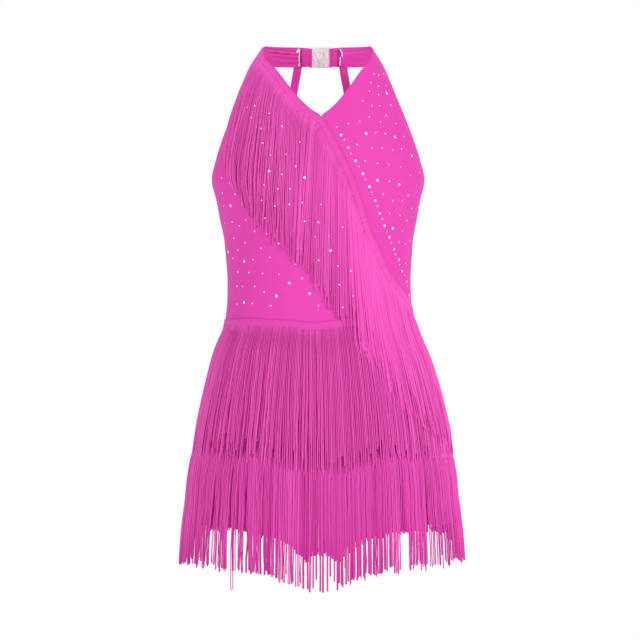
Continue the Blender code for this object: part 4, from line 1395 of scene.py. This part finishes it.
# rhinestones: across and height in mm
stones = dict(
    small=1.10 * mm, big=1.80 * mm, ring=2.1 * mm, height=0.62, shine=(0.58, 0.98, 0.50), uneven=0.24,
    askew=0.06, inRing=0.55, proud=0.05 * mm, ringProud=0.3 * mm, aboveThread=0.55 * mm, reach=4.0 * mm,
    # the cut: each row of facets rises and narrows, and the tone grows from painted shade at the rim up to a
    # painted glint on the table
    sides=8, girdle=0.24, facets=((0.26, 0.80), (0.20, 0.62)),
    shadeUpToGlint=(0.10, 0.90, 0.8), toneRange=(0.25, 1.1),
    plainSmall=[
        (21, -90), (30, -106), (38, -123), (48, -139), (56, -155), (64, -171), (71, -188), (77, -204),
        (83, -219), (88, -233), (94, -247), (99, -260), (105, -273), (108, -286), (112, -302),
        (67, -23), (73, -24), (79, -22), (63, -34), (73, -38), (82, -37), (61, -45), (73, -49), (53, -57),
        (64, -63), (74, -63), (88, -62), (61, -77), (82, -75), (49, -83), (35, -86), (75, -83), (94, -85),
        (69, -97), (81, -98), (104, -101), (46, -112), (64, -116), (77, -116), (90, -118), (101, -117),
        (56, -132), (71, -135), (85, -136), (100, -139), (112, -149), (124, -145), (86, -157), (121, -169),
        (78, -173), (109, -174), (90, -181), (102, -181), (113, -190), (122, -188), (86, -197), (99, -199),
        (108, -205), (102, -218), (112, -230), (98, -232), (106, -234), (106, -258),
        (-122, -152), (-112, -159), (-121, -171), (-105, -173), (-119, -187), (-97, -186), (-92, -205),
        (-118, -208), (-109, -207), (-100, -212), (-81, -219), (-107, -227), (-93, -233), (-73, -240),
        (-102, -242), (-108, -252), (-83, -254), (-62, -251), (-102, -269), (-88, -270), (-71, -271),
        (-51, -272), (-31, -260), (-22, -277), (-103, -287), (-96, -287), (-81, -287), (-69, -294),
        (-103, -309), (-84, -308), (-61, -311), (-2, -311),
    ],
    plainBig=[
        (26, -100), (53, -148), (61, -164), (68, -181), (74, -197), (80, -212), (86, -226), (92, -241),
        (98, -254), (102, -268), (107, -281), (111, -298), (83, -47), (57, -98),
        (93, -102), (114, -125), (71, -156), (98, -161), (90, -215), (-111, -187), (-51, -234),
        (-114, -244), (-94, -256), (-38, -283), (-54, -299), (-13, -296), (-94, -307),
    ],
    ringed=[(35, -116), (44, -132)],
    fringeSmall=[
        (-90, -65), (-81, -63), (-85, -78), (-63, -73), (-73, -92), (-47, -89), (-82, -109), (-71, -110),
        (-25, -109), (-61, -125), (-42, -124), (-47, -149), (-30, -139), (-69, -162), (-52, -167),
        (-37, -167), (-87, -178), (-72, -181), (-56, -188), (-38, -186), (-22, -184), (1, -186),
        (-68, -203), (-19, -207), (-2, -208), (-66, -222), (-6, -226), (11, -225), (28, -214), (-2, -255),
        (22, -262), (38, -268), (24, -285), (41, -299), (28, -313),
    ],
    fringeBig=[(-63, -145), (-19, -153), (13, -243)],
)


def stoneTemplate():
    # a flat-backed stone, eight-sided, cut to a small table
    clearSelection()
    girdle = stones["girdle"]
    bpy.ops.mesh.primitive_cylinder_add(
        vertices=stones["sides"], radius=1.0, depth=girdle, location=(0, 0, girdle / 2)
    )
    stone = takePiece("stoneTemplate")
    bpy.ops.object.mode_set(mode="EDIT")
    bpy.ops.mesh.select_all(action="DESELECT")
    bpy.ops.object.mode_set(mode="OBJECT")
    for face in stone.data.polygons:
        face.select = face.normal.z > 0.9
    bpy.ops.object.mode_set(mode="EDIT")
    for rise, narrowed in stones["facets"]:
        bpy.ops.mesh.extrude_region_move(TRANSFORM_OT_translate={"value": (0, 0, rise)})
        bpy.ops.transform.resize(value=(narrowed, narrowed, 1.0))
    bpy.ops.object.mode_set(mode="OBJECT")
    return stone


def copiesOf(template, name, places, finish, sharpAngle=20.0, tones=None):
    # one piece of many copies: each place is a centre, across, up and outward vectors, already scaled
    flat = meshPoints(template)
    faces = [tuple(face.vertices) for face in template.data.polygons]
    vertices, polygons = [], []
    for centre, across, up, outward in places:
        start = len(vertices)
        vertices.extend(centre + flat[:, :1] * across + flat[:, 1:2] * up + flat[:, 2:] * outward)
        polygons.extend(tuple(start + i for i in face) for face in faces)
    mesh = bpy.data.meshes.new(name)
    mesh.from_pydata([tuple(v) for v in vertices], [], polygons)
    if tones is not None:
        # painted shade round the rim, and a painted glint on the table
        high = (flat[:, 2] - flat[:, 2].min()) / np.ptp(flat[:, 2])
        rim, rise, power = stones["shadeUpToGlint"]
        keepTone(mesh, (tones[:, None] * (rim + rise * high**power)).ravel())
    finishPiece(bringIn(name, mesh), finish, sharpAngle)


def stonePlace(rng, centre, outward, size):
    # a little askew, and turned at random
    outward = unit(outward + rng.normal(0, stones["askew"], 3))
    across = unit(np.cross(np.array([0.0, 0.0, 1.0]), outward))
    up = np.cross(outward, across)
    turn = rng.uniform(0, math.pi / 4)
    turned = across * math.cos(turn) + up * math.sin(turn)
    return centre, turned * size, np.cross(outward, turned) * size, outward * size * stones["height"]


def onFront(x, height):
    # angle, z and facing of a point on the front, from its place in mm
    z = np.array(height * mm)
    angle = frontTurn(np.array(x * mm), z)
    return angle, z, formNormal(angle, z)


def scatterStones():
    rng = np.random.default_rng(21)
    template = stoneTemplate()
    onCloth, onFringe, ringed = [], [], []
    for group, size in (("plainSmall", stones["small"]), ("plainBig", stones["big"])):
        for x, height in stones[group]:
            angle, z, outward = onFront(x, height)
            centre = onForm(angle, z, creaseHeight(angle, z) + stones["proud"])
            onCloth.append(stonePlace(rng, centre, outward, size))
    surface = fringeSurface["diagonal"].reshape(-1, 3)
    for group, size in (("fringeSmall", stones["small"]), ("fringeBig", stones["big"])):
        for x, height in stones[group]:
            near = np.hypot(surface[:, 0] - x * mm, surface[:, 2] - height * mm)
            close = surface[near < max(near.min() + 1.0 * mm, stones["reach"])]
            centre = np.array([x * mm, close[:, 1].min() - stones["aboveThread"], height * mm])
            onFringe.append(stonePlace(rng, centre, onFront(x, height)[2], size))
    clearSelection()
    bpy.ops.mesh.primitive_torus_add(major_segments=12, minor_segments=5, major_radius=0.84, minor_radius=0.2)
    ring = takePiece("ringTemplate")
    for x, height in stones["ringed"]:
        angle, z, outward = onFront(x, height)
        ringed.append(stonePlace(rng, onForm(angle, z, stones["ringProud"]), outward, stones["ring"]))
        size = stones["ring"] * stones["inRing"]
        onCloth.append(stonePlace(rng, onForm(angle, z, stones["proud"]), outward, size))
    for name, shape, places in (
        ("clothStones", template, onCloth), ("fringeStones", template, onFringe), ("stoneRings", ring, ringed)
    ):
        # painted glint: the small stones are fainter than the big ones, and each stone's glint differs at
        # random
        spans = [np.linalg.norm(across) for _, across, _, _ in places]
        tones = np.interp(spans, (stones["small"], stones["big"], stones["ring"]), stones["shine"])
        tones = np.clip(tones + rng.normal(0, stones["uneven"], len(places)), *stones["toneRange"])
        copiesOf(shape, name, places, finishes["crystal"], tones=tones)
    for used in (template, ring):
        bpy.data.objects.remove(used, do_unlink=True)
    print("stones set:", len(onCloth) + len(onFringe))


scatterStones()


# machine stitches along the hems
def sewStitches():
    clearSelection()
    bpy.ops.mesh.primitive_uv_sphere_add(segments=6, ring_count=4, radius=1.0)
    template = takePiece("stitchTemplate")
    places = []
    pitch, half, radius = stitches["pitch"], stitches["length"] / 2, stitches["radius"]
    for line in stitches["lines"]:
        run = runLength(line, 0)
        at = np.arange(pitch, run[-1] - pitch, pitch)
        centres = pointsAt(at, run, line)
        for centre, along in zip(centres, unit(pointsAt(at + 1 * mm, run, line) - centres)):
            outward = unit(centre * np.array([1.0, 1.0, 0.0]) + np.array([0, 0.01, 0]))
            across = unit(np.cross(along, outward))
            outward = np.cross(across, along)
            centre = centre + outward * stitches["proud"]
            places.append((centre, along * half, across * radius, outward * radius))
    copiesOf(template, "topStitching", places, finishes["pinkStitch"], 60.0)
    bpy.data.objects.remove(template, do_unlink=True)
    print("stitches sewn:", len(places))


sewStitches()

# hand stitches on the band: across from the middle, height, and how far the thread dips, in mm
tacks = dict(
    radius=0.70 * mm, edgeRadius=0.34 * mm, onBand=-1.65, onFlap=-4.0,
    wander=0.5, wanderStep=0.9, unsteady=0.18,
    right=[
        (-27.6, 12.6, 0), (-31.2, 7.8, 0), (-28.0, 11.6, 0), (-30.2, 7.4, 0), (-27.4, 12.0, 0),
        (-29.2, 7.0, 0), (-26.8, 12.2, 0), (-28.2, 7.0, 0), (-26.4, 11.4, 0), (-27.2, 6.4, 0),
        (-27.2, 5.2, 1.8), (-27.0, 4.2, 0), (-28.0, 3.2, 0), (-27.8, 2.4, 1.8), (-27.2, 1.2, 0),
        (-27.6, 0.2, 0), (-27.2, -0.8, 1.8), (-28.0, -1.8, 0), (-27.2, -2.8, 0), (-27.2, -4.0, 1.8),
        (-27.0, -5.2, 0), (-28.4, -7.0, 0), (-26.6, -7.6, 0), (-28.0, -9.2, 0),
    ],
    left=[
        (24.8, 12.6, 0), (25.4, 10.6, 0), (26.8, 8.4, 0), (27.8, 5.8, 0), (27.0, 4.4, 0.2),
        (27.6, 3.2, 0.4), (26.0, 2.2, 1.8), (24.4, 1.0, 0.2), (24.8, -2.0, 0), (24.3, -4.8, 0),
        (24.5, -8.0, 0),
    ],
    # raw edges and gathers, sewn over in a darker thread that also stands for painted shade along the flap
    # edges and the fold at the bar: across, swing, top, bottom, stitches
    edges=dict(
        Right=(-24.6, 0.7, 12.0, -9.0, 26), Left=(22.2, 0.8, 12.0, -9.0, 24), Bar=(12.4, 0.7, 12.2, -9.0, 22),
    ),
)


def bandTack(name, stops, out, radius, thread):
    stops = np.array(stops, float)
    fine = np.linspace(0, len(stops) - 1, len(stops) * 3)
    across, height, dip = pointsAt(fine, np.arange(len(stops)), stops).T
    points = bandPoint(across, height, out + dip)
    inward = -formNormal(backTurn((across + neckband["claspCentre"]) * mm, height * mm), height * mm)
    piece = meshFromTubes(name, tubesAlong(points[None], inward[None], radius, 6))
    finishPiece(piece, thread, 60.0)


def edgeStitches(rng, across, swing, top, bottom, count):
    steps = np.arange(count)
    wander = tacks["wander"] * np.sin(steps * tacks["wanderStep"] + across)
    wander = wander + rng.normal(0, tacks["unsteady"], count)
    return [
        (across + wander[i] + swing * (-1) ** i, top + (bottom - top) * i / (count - 1), 0.0) for i in steps
    ]


bandTack("tackRight", tacks["right"], tacks["onBand"], tacks["radius"], finishes["whiteStitch"])
bandTack("tackLeft", tacks["left"], tacks["onBand"], tacks["radius"], finishes["whiteStitch"])
edgeRandom = np.random.default_rng(3)
for edgeName, facts in tacks["edges"].items():
    stops = edgeStitches(edgeRandom, *facts)
    bandTack("edgeStitch" + edgeName, stops, tacks["onFlap"], tacks["edgeRadius"], finishes["darkShadeStitch"])
print("clasp ends tacked")

# studio, in metres and watts
studio = dict(
    cameraDistance=8.0, cameraHeight=-0.32875, lens=360.0, sensor=36.0, clip=(0.1, 60.0),
    floor=-1.30, floorRadius=8.0, paint=((0.93, 0.93, 0.93, 1), (0.90, 0.90, 0.90, 1)), glow=0.10, air=0.68,
    # place, size and power; each light looks at the middle of the dress
    lights=dict(
        keyLight=((3.0, -3.2, 1.8), 1.7, 51.0),
        fillLight=((-3.4, -3.2, 0.5), 2.2, 38.0),
        frontLight=((1.2, -5.9, 0.4), 1.4, 27.0),
        sideLight=((3.6, -2.4, -0.3), 2.0, 25.0),
        rimLight=((0.5, 3.2, 2.4), 1.6, 30.0),
    ),
    # one narrow light over the shoulder, into the neck opening: place, aim, power, degrees, blend, softness
    neckSpot=((-1.8, -0.75, 0.75), (0.052, 0.045, 0.0), 66.0, 2.9, 0.7, 0.05),
)
white = (1, 1, 1, 1)


def layFloor():
    clearSelection()
    bpy.ops.mesh.primitive_circle_add(
        vertices=96, radius=studio["floorRadius"], fill_type="NGON", location=(0, 0, studio["floor"])
    )
    floor = takePiece("studioFloor")
    paint = Finish("paleFloor")
    fromMiddle = paint.node("ShaderNodeVectorMath", {"operation": "LENGTH"}, {0: paint.objectPlace})
    fade = paint.node(
        "ShaderNodeMapRange", {"interpolation_type": "SMOOTHSTEP"},
        {"Value": fromMiddle.outputs["Value"], "From Min": 2.0, "From Max": studio["floorRadius"] * 0.95,
         "To Min": 1.0, "To Max": 0.0},
    )
    paint.set({
        "Base Color": paint.mixed(paint.noise(3.0), *studio["paint"]), "Roughness": 0.8,
        "Alpha": fade.outputs["Result"], "Emission Color": white, "Emission Strength": studio["glow"],
    })
    floor.data.materials.append(paint.material)
    floor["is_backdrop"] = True


def fillAir():
    # white to the camera, and a softer light on the dress
    world = bpy.data.worlds.new("studioAir")
    bpy.context.scene.world = world
    world.use_nodes = True
    nodes, links = world.node_tree.nodes, world.node_tree.links
    background = nodes["Background"]
    background.inputs["Color"].default_value = white
    ray = nodes.new("ShaderNodeLightPath")
    strength = nodes.new("ShaderNodeMapRange")
    strength.inputs["To Min"].default_value = studio["air"]
    strength.inputs["To Max"].default_value = 1.0
    links.new(ray.outputs["Is Camera Ray"], strength.inputs["Value"])
    links.new(strength.outputs["Result"], background.inputs["Strength"])


def aimedLight(name, kind, place, aim, power):
    light = bpy.data.lights.new(name, kind)
    light.energy = power
    lamp = bringIn(name, light)
    lamp.location = place
    lamp.rotation_euler = (Vector(aim) - Vector(place)).to_track_quat("-Z", "Y").to_euler()
    return light


def setStudio():
    scene = bpy.context.scene
    scene.view_settings.view_transform = "Standard"
    layFloor()
    fillAir()
    for name, (place, size, power) in studio["lights"].items():
        light = aimedLight(name, "AREA", place, (0, 0, studio["cameraHeight"]), power)
        light.shape, light.size = "DISK", size
    place, aim, power, spread, blend, softness = studio["neckSpot"]
    spot = aimedLight("neckSpot", "SPOT", place, aim, power)
    spot.spot_size, spot.spot_blend, spot.shadow_soft_size = math.radians(spread), blend, softness

    camera = bpy.data.cameras.new("camera")
    camera.lens, camera.sensor_width = studio["lens"], studio["sensor"]
    camera.clip_start, camera.clip_end = studio["clip"]
    holder = bringIn("camera", camera)
    holder.location = (0, -studio["cameraDistance"], studio["cameraHeight"])
    holder.rotation_euler = (math.radians(90), 0, 0)
    scene.camera = holder
    print("studio set")


setStudio()

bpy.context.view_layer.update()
triangles = sum(len(p.vertices) - 2 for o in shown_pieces() if o.type == "MESH" for p in o.data.polygons)
print("triangles:", triangles)
